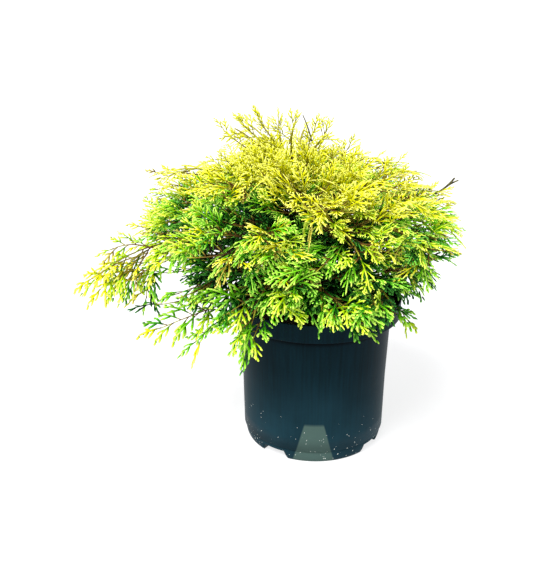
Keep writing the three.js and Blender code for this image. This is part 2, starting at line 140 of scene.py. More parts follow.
# ---- pot ------------------------------------------------------------------------------------
# A blow-moulded polyethylene nursery pot, dark blue-grey: a thin wall with a deep plain
# collar, a rounded foot, and four arches under the foot that let water out.
POT_HEIGHT, POT_RIM, SHOULDER, FOOT = 170.0, 95.0, 84.0, 78.5
CORNER_WIDTH, CORNER_HEIGHT = 4.5, 14.0
ARCH_FIRST, ARCH_HEIGHT, ARCH_REACH = -126.3, 10.0, 21.0
ARCH_HALF, ARCH_FLARE = 13.0, 4.0


def run(*corners, steps=6):
    """Points evenly spaced along the straight lines between corners, the last one included."""
    corners = np.array(corners, float)
    shares = np.arange(steps)[:, None] / steps
    lines = [a + (b - a) * shares for a, b in zip(corners[:-1], corners[1:])]
    return np.vstack([*lines, corners[-1:]])


def skin(grid):
    """Triangles over a grid of points that closes on itself across its rows: each cell is cut
    in two, and a fan to the middle of the first and of the last row closes the ends."""
    rows, columns = grid.shape[:2]
    corner = np.arange(rows * columns).reshape(rows, columns)
    a, b = corner[:-1], corner[1:]
    c, d = np.roll(a, -1, axis=1), np.roll(b, -1, axis=1)
    pole = np.full(columns, rows * columns)
    triangles = np.vstack([
        np.stack([a, c, d], -1).reshape(-1, 3),
        np.stack([a, d, b], -1).reshape(-1, 3),
        np.stack([np.roll(corner[0], -1), corner[0], pole], -1),
        np.stack([np.roll(corner[-1], 1), corner[-1], pole + 1], -1),
    ])
    return np.vstack([grid.reshape(-1, 3), grid[0].mean(axis=0), grid[-1].mean(axis=0)]), triangles


def make_piece(name, points, triangles, material, slot_name, nodes, uv=None):
    """A finished piece from whole arrays of points, in millimetres, of triangles and of a UV
    for each point. It rides on the plant's one body and stands for the named nodes."""
    mesh = bpy.data.meshes.new(name)
    mesh.vertices.add(len(points))
    mesh.vertices.foreach_set("co", (points * 0.001).astype(np.float32).ravel())
    mesh.loops.add(triangles.size)
    mesh.loops.foreach_set("vertex_index", triangles.astype(np.int32).ravel())
    mesh.polygons.add(len(triangles))
    mesh.polygons.foreach_set("loop_start", np.arange(0, triangles.size, 3, dtype=np.int32))
    mesh.update(calc_edges=True)
    if uv is not None:
        layer = mesh.uv_layers.new(name="shoot")
        layer.data.foreach_set("uv", uv[triangles.ravel()].astype(np.float32).ravel())
    mesh.validate()
    mesh.shade_smooth()
    mesh.materials.append(material)
    made = bpy.data.objects.new(name, mesh)
    bpy.context.collection.objects.link(made)
    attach(made, "root")
    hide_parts(*nodes)


def corner_curve(steps):
    """The rounded bottom edge as (radius, height): it leaves the wall along the wall's own
    slope and meets the floor level, (1 - t) ** 2 start + 2 t (1 - t) bend + t ** 2 end."""
    t = np.linspace(0, 1, steps)[:, None]
    start, bend, end = (FOOT, CORNER_HEIGHT), (FOOT - 0.6, 0.0), (FOOT - CORNER_WIDTH, 0.0)
    return (1 - t) ** 2 * start + 2 * t * (1 - t) * bend + t ** 2 * end


def pot_surface():
    """A profile of radii and heights in mm is turned round the pot's axis. Under each arch the
    lower part of the profile goes along the arch's ceiling and down its inner end instead,
    and the two profiles meet in the arch's flat sides. An arch's half width w at radius r is
    the angle asin(w / r), so the columns crowd and spread a little from row to row. The rows
    are handed on from the underside to the inside, so that the faces point out."""
    reach = FOOT - ARCH_REACH
    inside = np.vstack([
        run((30, 15), (80, 15), (82.4, 148), (91.9, 150.6), steps=8),
        run((92.4, 152), (93.4, 168.6), steps=8),
    ])
    rim = [(93.6, 169.5), (94.0, 169.9), (94.4, 170), (94.75, 169.85), (94.95, 169.4), (95, 168.7)]
    collar = run((POT_RIM, 168), (94.75, 150.9), steps=10)
    fold = np.vstack([
        [(94.65, 150.4), (94.3, 150.08), (93.7, 150.0)],
        run((92.5, 149.9), (85.3, 149.1), steps=4),
        [(84.5, 148.9), (84.05, 148.3)],
    ])
    wall = run((SHOULDER, 147.2), (FOOT, CORNER_HEIGHT), steps=26)
    corner = corner_curve(60)
    upper_corner = corner[corner[:, 1] > ARCH_HEIGHT][1::2]
    lower_corner = corner[corner[:, 1] <= ARCH_HEIGHT][::4]
    ledge = np.linspace(FOOT - CORNER_WIDTH, reach, 9)[1:]
    ceiling = np.linspace(lower_corner[0, 0], reach, len(lower_corner))
    drop = np.linspace(ARCH_HEIGHT, 0, 9)[1:]
    foot = np.vstack([lower_corner, np.column_stack([ledge, 0 * ledge])])
    arch = np.vstack([
        np.column_stack([ceiling, np.full(len(ceiling), ARCH_HEIGHT)]),
        np.column_stack([np.full(len(drop), reach), drop]),
    ])
    middle = run((reach - 4, 0), (6, 0), steps=6)
    above = np.vstack([inside, rim, collar, fold, wall, upper_corner])
    plain, arched = [np.vstack([above, part, middle]) for part in (foot, arch)]

    columns = []
    for turn in range(4):
        centre = ARCH_FIRST + 90 * turn
        for profile in (arched, plain):
            radius, height = profile[:, :1], profile[:, 1:]
            width = ARCH_HALF + ARCH_FLARE * (1 - np.clip(height, 0, ARCH_HEIGHT) / ARCH_HEIGHT)
            half = np.degrees(np.arcsin(width / np.maximum(radius, reach)))
            if profile is arched:
                angle = centre + half * np.linspace(-1, 1, 13)
            else:
                angle = centre + half + 0.02 + (90 - 2 * half - 0.04) * np.linspace(0, 1, 27)
            angle = np.radians(angle)
            across, away = radius * np.cos(angle), radius * np.sin(angle)
            columns.append(np.stack([across, away, height + 0 * angle], -1))
    return np.hstack(columns)[::-1]


# Polyethylene, blow moulded and a little dusty: a soft satin sheen with faint flow lines down
# the wall and pale specks of dust round the foot. Light and shade are painted into its colour
# too: painted light that makes the wall paler low down, a pale painted reflection low on the
# front, and painted shade in the fold under the collar.
def polyethylene(tree):
    """Two dark blue-greys are mixed by 2.4 mm streaks that are drawn out along the height. The
    painted light, which makes the wall paler low down, grows from 110 to 20 mm of height, in 45 mm
    patches. The painted reflection is where |x| is under a half width that falls from 23 mm at the
    foot to 11 mm at its top. The painted shade under the collar darkens from 140.5 to 145.5 mm of
    height, up to the collar's foot at 150.2 mm. A speck is where the distance in a bent pattern of
    2.3 mm cells is small, in a share of the cells that falls from 2 to 62 mm of height."""
    where = add_node(tree, "TexCoord").outputs["Object"]
    across, depth, height = add_node(tree, "SeparateXYZ", {0: where}).outputs
    drawn = add_node(tree, "Mapping", {0: where, 3: (1.0, 1.0, 0.03)})
    streaks = add_node(tree, "TexNoise", {0: drawn, "Scale": 420.0, "Detail": 3.0})
    shade = add_node(tree, "ValToRGB", {0: streaks}, [(0.3, "#091b21"), (0.75, "#0b232c")])

    # Painted light: the wall is made paler low down, in 45 mm patches, for the light from below.
    patches = add_node(tree, "TexNoise", {0: where, "Scale": 22.0, "Detail": 4.0})
    painted_light_low = add_node(tree, "MapRange", {0: height, 1: 0.110, 2: 0.020, 3: 0.0, 4: 1.1})
    painted_light_low = add_node(tree, "Math", {0: painted_light_low, 1: patches}, operation="MULTIPLY")

    # Painted reflection: a pale grey-green patch low on the front of the wall, wider at the foot.
    half = add_node(tree, "MapRange", {0: height, 1: 0.0, 2: 0.049, 3: 0.0235, 4: 0.0110})
    aside = add_node(tree, "Math", {0: across, 1: 0.003}, operation="ADD")
    aside = add_node(tree, "Math", {0: aside}, operation="ABSOLUTE")
    inside = add_node(tree, "Math", {0: half, 1: aside}, operation="SUBTRACT")
    inside = add_node(tree, "MapRange", {0: inside, 1: 0.0, 2: 0.0015})
    below = add_node(tree, "MapRange", {0: height, 1: 0.046, 2: 0.0495, 3: 1.0, 4: 0.0})
    front = add_node(tree, "Math", {0: depth, 1: 0.0}, operation="LESS_THAN")
    painted_reflection = inside
    for factor in (below, front, 0.8):
        painted_reflection = add_node(tree, "Math", {0: painted_reflection, 1: factor}, operation="MULTIPLY")

    # Painted shade: the wall just under the collar's overhang is darkened to near black.
    fold = add_node(tree, "MapRange", {0: height, 1: 0.1405, 2: 0.1455, 3: 0.0, 4: 1.0})
    over = add_node(tree, "Math", {0: height, 1: 0.1502}, operation="LESS_THAN")
    fold = add_node(tree, "Math", {0: fold, 1: over}, operation="MULTIPLY")

    bent = add_node(tree, "TexNoise", {0: where, "Scale": 500.0}).outputs[1]
    shifted = add_node(tree, "Mix", {0: 0.0035, 4: where, 5: bent}, data_type="VECTOR").outputs[1]
    grit = add_node(tree, "TexVoronoi", {0: shifted, "Scale": 430.0})
    chance, wide, _ = add_node(tree, "SeparateColor", {0: grit.outputs["Color"]}).outputs
    widest = add_node(tree, "MapRange", {0: wide, 3: 0.08, 4: 0.26})
    speck = add_node(tree, "Math", {0: grit.outputs["Distance"], 1: widest}, operation="LESS_THAN")
    low = add_node(tree, "MapRange", {0: height, 1: 0.002, 2: 0.062, 3: 0.22, 4: 0.0})
    chosen = add_node(tree, "Math", {0: chance, 1: low}, operation="LESS_THAN")
    dust = add_node(tree, "Math", {0: speck, 1: chosen}, operation="MULTIPLY")

    colour = shade.outputs[0]
    for share, tint in ((painted_light_low, "#1d3c47"), (painted_reflection, "#4a5f58"), (fold, "#010203"), (dust, "#e4eae2")):
        mixed = add_node(tree, "Mix", {0: share, 6: colour, 7: linear(tint)}, data_type="RGBA")
        colour = mixed.outputs[2]
    rough = add_node(tree, "MapRange", {0: streaks, 3: 0.34, 4: 0.46})
    relief = add_node(tree, "Bump", {"Strength": 0.08, "Distance": 0.0003, "Height": streaks})
    return {"Base Color": colour, "Roughness": rough, "Normal": relief, "IOR": 1.1}


blue_grey = make_material("polyethylene", polyethylene)
make_piece("pot_shell", *skin(pot_surface()), blue_grey, "pot", ["pot"])


# ---- compost --------------------------------------------------------------------------------
# Moist peat and bark compost, filled to a little under the rim and heaped round the trunk:
# a lumpy surface with loose crumbs of peat and paler chips of bark on it.
COMPOST_TOP, COMPOST_DROP, COMPOST_BRIM, COMPOST_HEAP = 162.6, 4.8, 91.6, 24
COMPOST_RINGS, COMPOST_SIDES = 70, 220


def compost_level(radius):
    """The compost's height: flat out to the heap's radius, then evenly down to the brim."""
    slope = (radius - COMPOST_HEAP) / (COMPOST_BRIM - COMPOST_HEAP)
    return COMPOST_TOP - COMPOST_DROP * np.clip(slope, 0, 1)


def lumps(points, size, seed):
    """A relief from -1 to 1 at each point: the mean of sines along random directions, with
    wavelengths from half of size to one and a half times size."""
    dice = np.random.default_rng(seed)
    waves = dice.normal(size=(14, 3))
    waves /= np.linalg.norm(waves, axis=1)[:, None]
    waves *= 2 * np.pi / (size * dice.uniform(0.5, 1.5, 14))[:, None]
    return np.sin(points @ waves.T + dice.uniform(0, 2 * np.pi, 14)).mean(axis=-1) * 2.2


def compost_surface():
    """Circles round the pot's axis at the compost's level, with relief of 16 and of 5 mm added
    upwards that fades out at the brim and the trunk. The last rows go down inside the pot."""
    radius = np.linspace(4, COMPOST_BRIM, COMPOST_RINGS)
    radius = np.append(radius, [COMPOST_BRIM + 0.3, COMPOST_BRIM - 9, 30])
    angle = np.linspace(0, 2 * np.pi, COMPOST_SIDES, endpoint=False)
    height = np.repeat(compost_level(radius)[:, None], COMPOST_SIDES, axis=1)
    height[-3:] = [[154.0], [149.0], [140.0]]
    grid = np.stack([radius[:, None] * np.cos(angle), radius[:, None] * np.sin(angle), height], -1)
    fade = np.clip((COMPOST_BRIM - radius) / 6, 0, 1) * np.clip((radius - 11) / 6, 0, 1)
    flat = grid * (1, 1, 0)
    grid[..., 2] += fade[:, None] * (1.1 * lumps(flat, 16, 1) + 0.7 * lumps(flat, 5, 2) - 0.6)
    return grid[::-1]


def crumbs(count, low, high, flatness, seed):
    """Twenty-faced balls, low to high mm in radius, with their corners pushed in and out, each
    turned, flattened and put on the compost at a random place, half sunk in."""
    dice = np.random.default_rng(seed)
    golden = (1 + 5 ** 0.5) / 2
    ball = np.array([(s, t * golden, 0) for s in (-1, 1) for t in (-1, 1)])
    ball = np.vstack([ball, np.roll(ball, 1, axis=1), np.roll(ball, 2, axis=1)]) / np.hypot(1, golden)
    apart = np.linalg.norm(ball[:, None] - ball[None], axis=-1)
    near = (apart > 0.1) & (apart < 1.1)
    faces = np.array([(i, j, k) for i in range(12) for j in range(i) for k in range(j)])
    i, j, k = faces.T
    faces = faces[near[i, j] & near[j, k] & near[i, k]]
    first, second, third = ball[faces].transpose(1, 0, 2)
    inward = (np.cross(second - first, third - first) * first).sum(-1) < 0
    faces[inward] = faces[inward, ::-1]
    size = dice.uniform(low, high, (count, 1, 1))
    shape = ball * dice.uniform(0.7, 1.25, (count, 12, 1)) * dice.uniform(0.6, 1.4, (count, 1, 3))
    shape[..., 2] *= flatness
    turn = np.linalg.qr(dice.normal(size=(count, 3, 3)) * (1, 1, 0.4) + np.eye(3) * 2)[0]
    radius = COMPOST_BRIM * 0.97 * np.sqrt(dice.uniform(0.03, 1, count))
    angle = dice.uniform(0, 2 * np.pi, count)
    centre = np.stack([radius * np.cos(angle), radius * np.sin(angle), compost_level(radius)], -1)
    points = np.einsum("nij,nkj->nki", turn, size * shape) + centre[:, None]
    triangles = faces + 12 * np.arange(count)[:, None, None]
    return points.reshape(-1, 3), triangles.reshape(-1, 3)


# Peat and composted bark, moist: nearly black, with no shine except a little on wet chips.
def humus(tree, dark, pale, roughness):
    """Two browns mixed by a noise with 6 mm lumps, and a fine bump of 1.5 mm grains."""
    where = add_node(tree, "TexCoord").outputs["Object"]
    patches = add_node(tree, "TexNoise", {0: where, "Scale": 170.0, "Detail": 5.0, "Roughness": 0.7})
    shade = add_node(tree, "ValToRGB", {0: patches}, [(0.35, dark), (0.68, pale)])
    grains = add_node(tree, "TexNoise", {0: where, "Scale": 650.0, "Detail": 3.0})
    relief = add_node(tree, "Bump", {"Strength": 0.6, "Distance": 0.001, "Height": grains})
    return {"Base Color": shade, "Normal": relief, "Roughness": roughness}


peat = make_material("moist peat", humus, "#120c08", "#2e2118", 0.9)
bark_chip = make_material("composted bark", humus, "#2a1a10", "#5b3d26", 0.75)
make_piece("compost_surface", *skin(compost_surface()), peat, "compost", ["compost"])
make_piece("compost_crumbs", *crumbs(2600, 0.9, 2.4, 0.8, 3), peat, "compost", ["compost"])
make_piece("compost_chips", *crumbs(420, 1.6, 4.2, 0.4, 4), bark_chip, "compost", ["compost"])


# ---- trunk ----------------------------------------------------------------------------------
# A short trunk of a young plant that leans to the left and sways once, with a root flare at the
# compost. Its bark is thin and red-brown, and splits lengthwise into narrow strips.
TRUNK_HEIGHT, TRUNK_FOOT_HEIGHT = 138.0, 163.3
TRUNK_FOOT, TRUNK_TIP, TRUNK_FLARE = 10.0, 2.6, 5.0


def trunk_point(rise):
    """The trunk's axis at a height above its foot: sideways it is a straight lean plus a sine
    of 1.2 turns, and front to back it is a sine of one turn."""
    share = np.asarray(rise, float) / TRUNK_HEIGHT
    across, deep = -26 * share - 3 * np.sin(2.4 * np.pi * share), 3 * np.sin(2 * np.pi * share)
    return np.stack([across, deep, TRUNK_FOOT_HEIGHT + TRUNK_HEIGHT * share], -1)


def trunk_radius(rise):
    """The radius falls as the 0.8th power of the height, plus a flare that dies away upwards."""
    up = np.maximum(rise, 0)
    taper = (TRUNK_TIP - TRUNK_FOOT) * (up / TRUNK_HEIGHT) ** 0.8
    return TRUNK_FOOT + taper + TRUNK_FLARE * np.exp(-up / 5)


def unit(vectors):
    """Each vector divided by its length."""
    return vectors / np.linalg.norm(vectors, axis=-1, keepdims=True)


def tube(path, radii, sides, reference, relief=0.0, strip=7.0, seed=0):
    """A ring of points square to the path at each of its points. The ring's first direction is
    the path's direction crossed with a reference. Bark relief moves each point out or in by a
    sum of sines round the ring whose phase drifts along the path, so it runs in strips."""
    along = unit(np.gradient(path, axis=0))
    first = unit(np.cross(along, reference))
    second = np.cross(along, first)
    angle = np.linspace(0, 2 * np.pi, sides, endpoint=False)
    travelled = np.append(0, np.cumsum(np.linalg.norm(np.diff(path, axis=0), axis=1)))[:, None]
    dice = np.random.default_rng(seed)
    rough = np.zeros((len(path), sides))
    for ridges in (5, 8, 11, 15):
        drift, phase = dice.uniform(-0.04, 0.04), dice.uniform(0, 2 * np.pi)
        swell = 0.6 + 0.4 * np.sin(travelled / (strip * dice.uniform(0.8, 1.6)) + phase)
        rough += swell * np.sin(ridges * angle + drift * travelled * ridges + 3 * phase) / 4
    radius = np.asarray(radii)[:, None] * (1 + relief * rough)
    ring = np.cos(angle)[:, None] * first[:, None] + np.sin(angle)[:, None] * second[:, None]
    return path[:, None] + radius[..., None] * ring


# Live bark, thin and fibrous: dull red-brown with grey ridges.
def bark(tree, dark, pale):
    """Two browns mixed by a noise drawn out along the height, so that it makes strips about
    2.4 mm wide, and the same noise as a bump."""
    where = add_node(tree, "TexCoord").outputs["Object"]
    drawn = add_node(tree, "Mapping", {0: where, 3: (1.0, 1.0, 0.18)})
    strips = add_node(tree, "TexNoise", {0: drawn, "Scale": 420.0, "Detail": 5.0})
    shade = add_node(tree, "ValToRGB", {0: strips}, [(0.38, dark), (0.66, pale)])
    relief = add_node(tree, "Bump", {"Strength": 0.7, "Distance": 0.001, "Height": strips})
    return {"Base Color": shade, "Normal": relief, "Roughness": 0.85}


old_bark = make_material("fibrous bark", bark, "#150d08", "#45301f")
rises = np.linspace(0, 1, 150) ** 1.3 * TRUNK_HEIGHT
trunk_grid = tube(trunk_point(rises), trunk_radius(rises) * 0.97, 72, (1.0, 0, 0), relief=0.09, seed=5)
trunk_grid[0, :, 2] = TRUNK_FOOT_HEIGHT
make_piece("trunk_bark", *skin(trunk_grid), old_bark, "bark", ["trunk"])


# ---- crown plan -----------------------------------------------------------------------------
# The limbs, in tiers from low to high, as the plant grows them: each leaves the trunk, bends
# over at a point and ends at a tip. Angles run from +X towards +Y, and the front is at 270.
GAP = 0.3
CROWN_MIDDLE, CROWN_TILT = np.array([-14.0, 0.0, 214.0]), 0.04
UP = np.array([0.0, 0.0, 1.0])
TURN, REACH, TIP, PLACE, LENGTH, TILT, TWIST, LEVEL, ROLL = range(1, 10)
MIX = 805


def seeded(a, b, c):
    """A number from 0 to 1: what follows the point in 43758.5453 sin(12.9898 a + 78.233 b +
    37.719 c)."""
    v = np.sin(a * 12.9898 + b * 78.233 + c * 37.719) * 43758.5453
    return v - np.floor(v)


def around(count, first, reach, reach_change, tip, tip_change):
    """count boughs evenly round the trunk, with a seeded change of turn, reach and height."""
    return [(first + 360 * (i + 0.35 * (seeded(count, i, TURN) - 0.5)) / count,
             reach + reach_change * (2 * seeded(count, i, REACH) - 1),
             tip + tip_change * (2 * seeded(count, i, TIP) - 1)) for i in range(count)]


# Each tier: root height, fork and bend as radius and height, shift along X, whether the tips
# follow the crown's tilt, length and number of twigs, droop, roll, and (turn, reach, tip) a bough.
TIERS = {
    "skirt": dict(
        root=10, fork=(56, 196), bend=(112, 238), shift=0, tilted=False,
        twig=58, twigs=7, droop=0.35, roll=10, boughs=[
            (10, 128, 178), (40, 150, 172), (76, 150, 168), (112, 152, 170), (148, 158, 172),
            (178, 164, 168), (206, 180, 142), (238, 142, 142), (270, 134, 172), (303, 148, 170),
            (333, 126, 170)]),
    "shoulder": dict(
        root=42, fork=(44, 242), bend=(114, 297), shift=-5, tilted=True,
        twig=58, twigs=9, droop=0.19, roll=12, boughs=around(10, 28, 178, 5, 229, 10)),
    "upper": dict(
        root=72, fork=None, bend=(84, 339), shift=-14, tilted=True,
        twig=58, twigs=10, droop=0.02, roll=14, boughs=[
            (10, 164, 290), (52, 158, 274), (96, 158, 272), (141, 160, 278), (184, 174, 290),
            (228, 164, 282), (273, 158, 274), (318, 162, 282)]),
    "crown": dict(
        root=108, fork=None, bend=(24, 352), shift=-36, tilted=True,
        twig=50, twigs=8, droop=0.0, roll=20, boughs=[
            (62, 66, 346), (134, 82, 350), (206, 84, 361), (278, 76, 364), (340, 66, 354)]),
    "long": dict(
        root=34, fork=(122, 232), bend=(190, 242), shift=0, tilted=False,
        twig=46, twigs=9, droop=0.2, roll=0, boughs=[(190, 257, 184)]),
}
LONG_ROLL = -40


def polar(turn, radius, height):
    """The point at that turn in degrees, radius and height."""
    return np.array([radius * np.cos(np.radians(turn)), radius * np.sin(np.radians(turn)), height])


def bezier(start, bend, tip, share):
    """The curve from start to tip that is drawn towards bend, at each share t of its way:
    (1 - t) ** 2 start + 2 t (1 - t) bend + t ** 2 tip."""
    t = np.asarray(share, float)[..., None]
    return (1 - t) ** 2 * start + 2 * t * (1 - t) * bend + t ** 2 * tip


masses, boughs = [], []
for tier_name, tier in TIERS.items():
    for i, (turn, reach, tip_height) in enumerate(tier["boughs"]):
        number = len(masses)
        root = trunk_point(tier["root"] + 14 * (i % 2) + 4.2 * (seeded(number, 0, LEVEL) - 0.5))
        bend, tip = polar(turn, *tier["bend"]), polar(turn, reach, tip_height)
        bend[0] += tier["shift"]
        tip[0] += tier["shift"]
        bend[2] -= CROWN_TILT * bend[0]
        if tier["tilted"]:
            tip[2] -= CROWN_TILT * tip[0]
        start = root
        if tier["fork"]:
            fork = polar(turn, *tier["fork"]) + 0.5 * root * (1, 1, 0)
            ahead = unit(bend - fork)
            knee = fork - 0.5 * np.linalg.norm(root - fork) * ahead
            boughs.append((f"{tier_name}_bough_{i + 1:02d}", root, knee, fork))
            start = fork + GAP * ahead
        roll = LONG_ROLL if tier_name == "long" else tier["roll"] * (2 * seeded(number, 0, ROLL) - 1)
        masses.append(dict(
            node=f"{tier_name}_foliage_{i + 1:02d}", tier=tier_name, number=number,
            start=start, bend=bend, tip=tip, roll=np.radians(roll), taken=np.empty((0, 3)),
            **{key: tier[key] for key in ("twig", "twigs", "droop")}))


# ---- boughs ---------------------------------------------------------------------------------
# The lower limbs, each one taper from the trunk to the fork where its foliage begins, with the
# same thin bark as the trunk. They are the dark limbs that show through the gaps.
BOUGH_ROOT, BOUGH_FORK = 3.2, 2.3


def joined(parts):
    """Several (points, triangles) as one, with each part's corners counted on from the last."""
    offsets = np.cumsum([0] + [len(points) for points, _ in parts[:-1]])
    triangles = [part + offset for (_, part), offset in zip(parts, offsets)]
    return np.vstack([points for points, _ in parts]), np.vstack(triangles)


shares = np.linspace(0, 1, 46)
limb_radii = BOUGH_ROOT + (BOUGH_FORK - BOUGH_ROOT) * shares
bough_parts = [
    skin(tube(bezier(root, knee, fork, shares), limb_radii, 20, UP, relief=0.10, seed=20 + i))
    for i, (_, root, knee, fork) in enumerate(boughs)]
make_piece("bough_bark", *joined(bough_parts), old_bark, "bark", [name for name, *_ in boughs])


# ---- sprays: where they grow ----------------------------------------------------------------
# A mass is a stem with a spray at its tip and twigs on alternate sides, each ending in a flat
# spray. Each spray is the largest that fits its place, as the plant fills its own space.
STEM_ROOT, STEM_TIP, STEM_END, STEM_SUNK, SPANS = 2.1, 1.0, 0.75, 0.02, 4
TWIG_ANGLE, TWIG_TIP_ANGLE, TWIG_LOWEST, TWIG_HIGHEST = 54, 30, -93, 10
SPRAY_SIZES = (1.15, 1, 0.85, 0.7, 0.56)
TWIG_SHARE, SLIMNESS, SPRAY_THICKNESS, SPRAY_TWIST = 0.16, 0.45, 1.8, 20
AIR_SPACE, AIR_LIMB, AIR_SPRAY = 1.5, 4.5, 3.9
CROWN_HALF, CROWN_ABOVE, CROWN_BELOW = (178.0, 168.0), 152, 84
GOLDEN_SECTION, GOLDEN_ANGLE = 0.618, 137.5


def stem_point(mass, share):
    """The stem at a share of its curve: straight between the curve's quarter points."""
    quarters = np.linspace(0, 1, SPANS + 1)
    joints = bezier(mass["start"], mass["bend"], mass["tip"], quarters)
    return np.stack([np.interp(share, quarters, joints[:, k]) for k in range(3)], -1)


def stem_direction(mass, share):
    """The smooth curve's own direction: (1 - t)(bend - start) + t (tip - bend), made a unit."""
    return unit((1 - share) * (mass["bend"] - mass["start"]) + share * (mass["tip"] - mass["bend"]))


def limb_points(curve, first, last, from_radius, to_radius, end):
    """Points about 2 mm apart along a limb up to a share of it, with the limb's radius there."""
    steps = int(np.ceil(end * np.linalg.norm(last - first) / 1.8))
    share = np.linspace(0, 1, steps + 1)
    return curve(end * share), from_radius + (to_radius - from_radius) * share


rise = np.linspace(-8, TRUNK_HEIGHT, 82)
limbs = [(-1, trunk_point(rise), np.linspace(TRUNK_FOOT, TRUNK_TIP + 1, 82))]
for _, root, knee, fork in boughs:
    limbs.append((-1, *limb_points(
        lambda t: bezier(root, knee, fork, t), root, fork, BOUGH_ROOT, BOUGH_FORK, 1)))
for mass in masses:
    end = stem_point(mass, STEM_END)
    limbs.append((mass["number"], *limb_points(
        lambda t: stem_point(mass, t), mass["start"], end, STEM_ROOT, STEM_TIP, STEM_END)))
limb_owner = np.concatenate([np.full(len(points), owner) for owner, points, _ in limbs])
limb_centre = np.vstack([points for _, points, _ in limbs])
limb_radius = np.concatenate([radii for *_, radii in limbs])


def turned(vector, axis, angle):
    """A vector turned about a unit axis, by Rodrigues' formula."""
    return (vector * np.cos(angle) + np.cross(axis, vector) * np.sin(angle)
            + axis * (vector @ axis) * (1 - np.cos(angle)))


def spray_place(mass, share, angle, tilt, side, order):
    """A spray's root and its directions: along it, along its teeth, and square to its flat.
    angle turns it off the stem to one side, and tilt turns it round the stem, upwards. Then it
    droops, and is twisted a little about itself."""
    forward = stem_direction(mass, share)
    level = turned(unit(np.cross(UP, forward)), forward, mass["roll"])
    rise = np.cross(forward, level)
    out = side * np.cos(tilt) * level + np.sin(tilt) * rise
    face = np.cos(tilt) * rise - side * np.sin(tilt) * level
    along = np.cos(angle) * forward + np.sin(angle) * out
    if angle:
        along = unit(along - mass["droop"] * UP)
    face = unit(face - (face @ along) * along)
    face = turned(face, along, np.radians(SPRAY_TWIST) * (seeded(mass["number"], order, TWIST) - 0.5))
    return stem_point(mass, share), along, np.cross(face, along), face


half = [(0, 0.06)]
for tooth in (0.42, 0.67):
    spread = np.sin(np.pi * tooth ** 1.1)
    half += [(tooth, spread), (tooth + 0.09, 0.42 * spread)]
half.append((0.86, 0.46))
OUTLINE = np.array([*half, (1, 0), *[(u, -v) for u, v in half[::-1]]])


def spray_samples(root, along, teeth, face, length):
    """The points of a spray that are measured: the outline's corners but the first and last,
    points halfway from those to the ridge, and two points along the rib."""
    start, blade = root + TWIG_SHARE * length * along, (1 - TWIG_SHARE) * length
    corners = start + blade * OUTLINE[1:-1, :1] * along + SLIMNESS * blade * OUTLINE[1:-1, 1:] * teeth
    ridge = start + 0.42 * blade * along + 0.5 * SPRAY_THICKNESS * face
    tip = start + blade * along
    return np.vstack([corners, (corners + ridge) / 2, [root + s * (tip - root) for s in (0.6, 0.85)]])


def crown_size(points):
    """How far out in the crown's rounded box a point is: the sum of the 2.6th powers of its
    distances from the middle, each as a share of the box's half size. It is 1 on the box."""
    away = points - CROWN_MIDDLE
    box = np.ones(away.shape) * (*CROWN_HALF, CROWN_BELOW)
    box[..., 2] = np.where(away[..., 2] > 0, CROWN_ABOVE, CROWN_BELOW)
    return (np.abs(away / box) ** 2.6).sum(-1)


def clear_of_pot(points, aside, over, lowest):
    """Whether points are higher than lowest, and over above the rim where they are less than
    aside from the pot."""
    beside = np.hypot(points[:, 0], points[:, 1]) > POT_RIM + aside
    return points[:, 2] > np.where(beside, lowest, POT_HEIGHT + over)


def nearest(points, others):
    """The distance from each point to the nearest of the others."""
    if not len(others):
        return np.full(len(points), np.inf)
    return np.sqrt(((points[:, None] - others[None]) ** 2).sum(-1).min(axis=1))


def room_for(mass, samples, apart):
    """Whether a spray fits: clear of the mass's other sprays, inside the crown, clear of the
    pot, nearer its own stem than any other, and clear of every other limb."""
    if (nearest(samples, mass["taken"]) <= apart).any():
        return False
    if (crown_size(samples) >= max(1, crown_size(mass["tip"]))).any():
        return False
    if not clear_of_pot(samples, 2, 2, 4).all():
        return False
    away = np.sqrt(((samples[:, None] - limb_centre[None]) ** 2).sum(-1))
    own = limb_owner == mass["number"]
    stems = (limb_owner >= 0) & ~own
    if (away[:, stems].min(axis=1) <= away[:, own].min(axis=1) + 2 * AIR_SPACE).any():
        return False
    return not (away[:, ~own] <= limb_radius[~own] + AIR_LIMB).any()


def largest_spray(mass, share, angle, tilts, side, length, order):
    """The first size and tilt at which the spray fits, as a row for the list of sprays."""
    for size in SPRAY_SIZES:
        for tilt in tilts:
            root, along, teeth, face = spray_place(mass, share, angle, np.radians(tilt), side, order)
            samples = spray_samples(root, along, teeth, face, length * size)
            if room_for(mass, samples, AIR_SPRAY):
                mass["taken"] = np.vstack([mass["taken"], samples])
                return dict(mass=mass, share=share, along=along, face=face, length=length * size)
    return None


# Each stem's last spray is found first, and then those of its twigs from the tip to the root.
# A twig tries six tilts, each a golden section of their range on from the last.
sprays = []
for mass in masses:
    number, twigs = mass["number"], mass["twigs"]
    end = STEM_END - STEM_SUNK
    last = np.linalg.norm(stem_point(mass, end) - mass["tip"])
    sprays.append(largest_spray(mass, end, 0, [0], 1, last, twigs))
    for k in range(twigs - 1, -1, -1):
        share = STEM_END * (0.06 + 0.9 * (k + 0.5 * seeded(number, k, PLACE)) / twigs)
        length = mass["twig"] * (1.12 - 0.4 * share) * (1 + 0.16 * (seeded(number, k, LENGTH) - 0.5))
        angle = np.radians(TWIG_ANGLE + (TWIG_TIP_ANGLE - TWIG_ANGLE) * share)
        swings = (GOLDEN_SECTION * (k + 2 * np.arange(6)) + seeded(number, MIX, TILT)) % 1
        tilts = TWIG_LOWEST + (TWIG_HIGHEST - TWIG_LOWEST) * swings
        sprays.append(largest_spray(mass, share, angle, tilts, 1 if k % 2 else -1, length, k))
sprays = [spray for spray in sprays if spray]


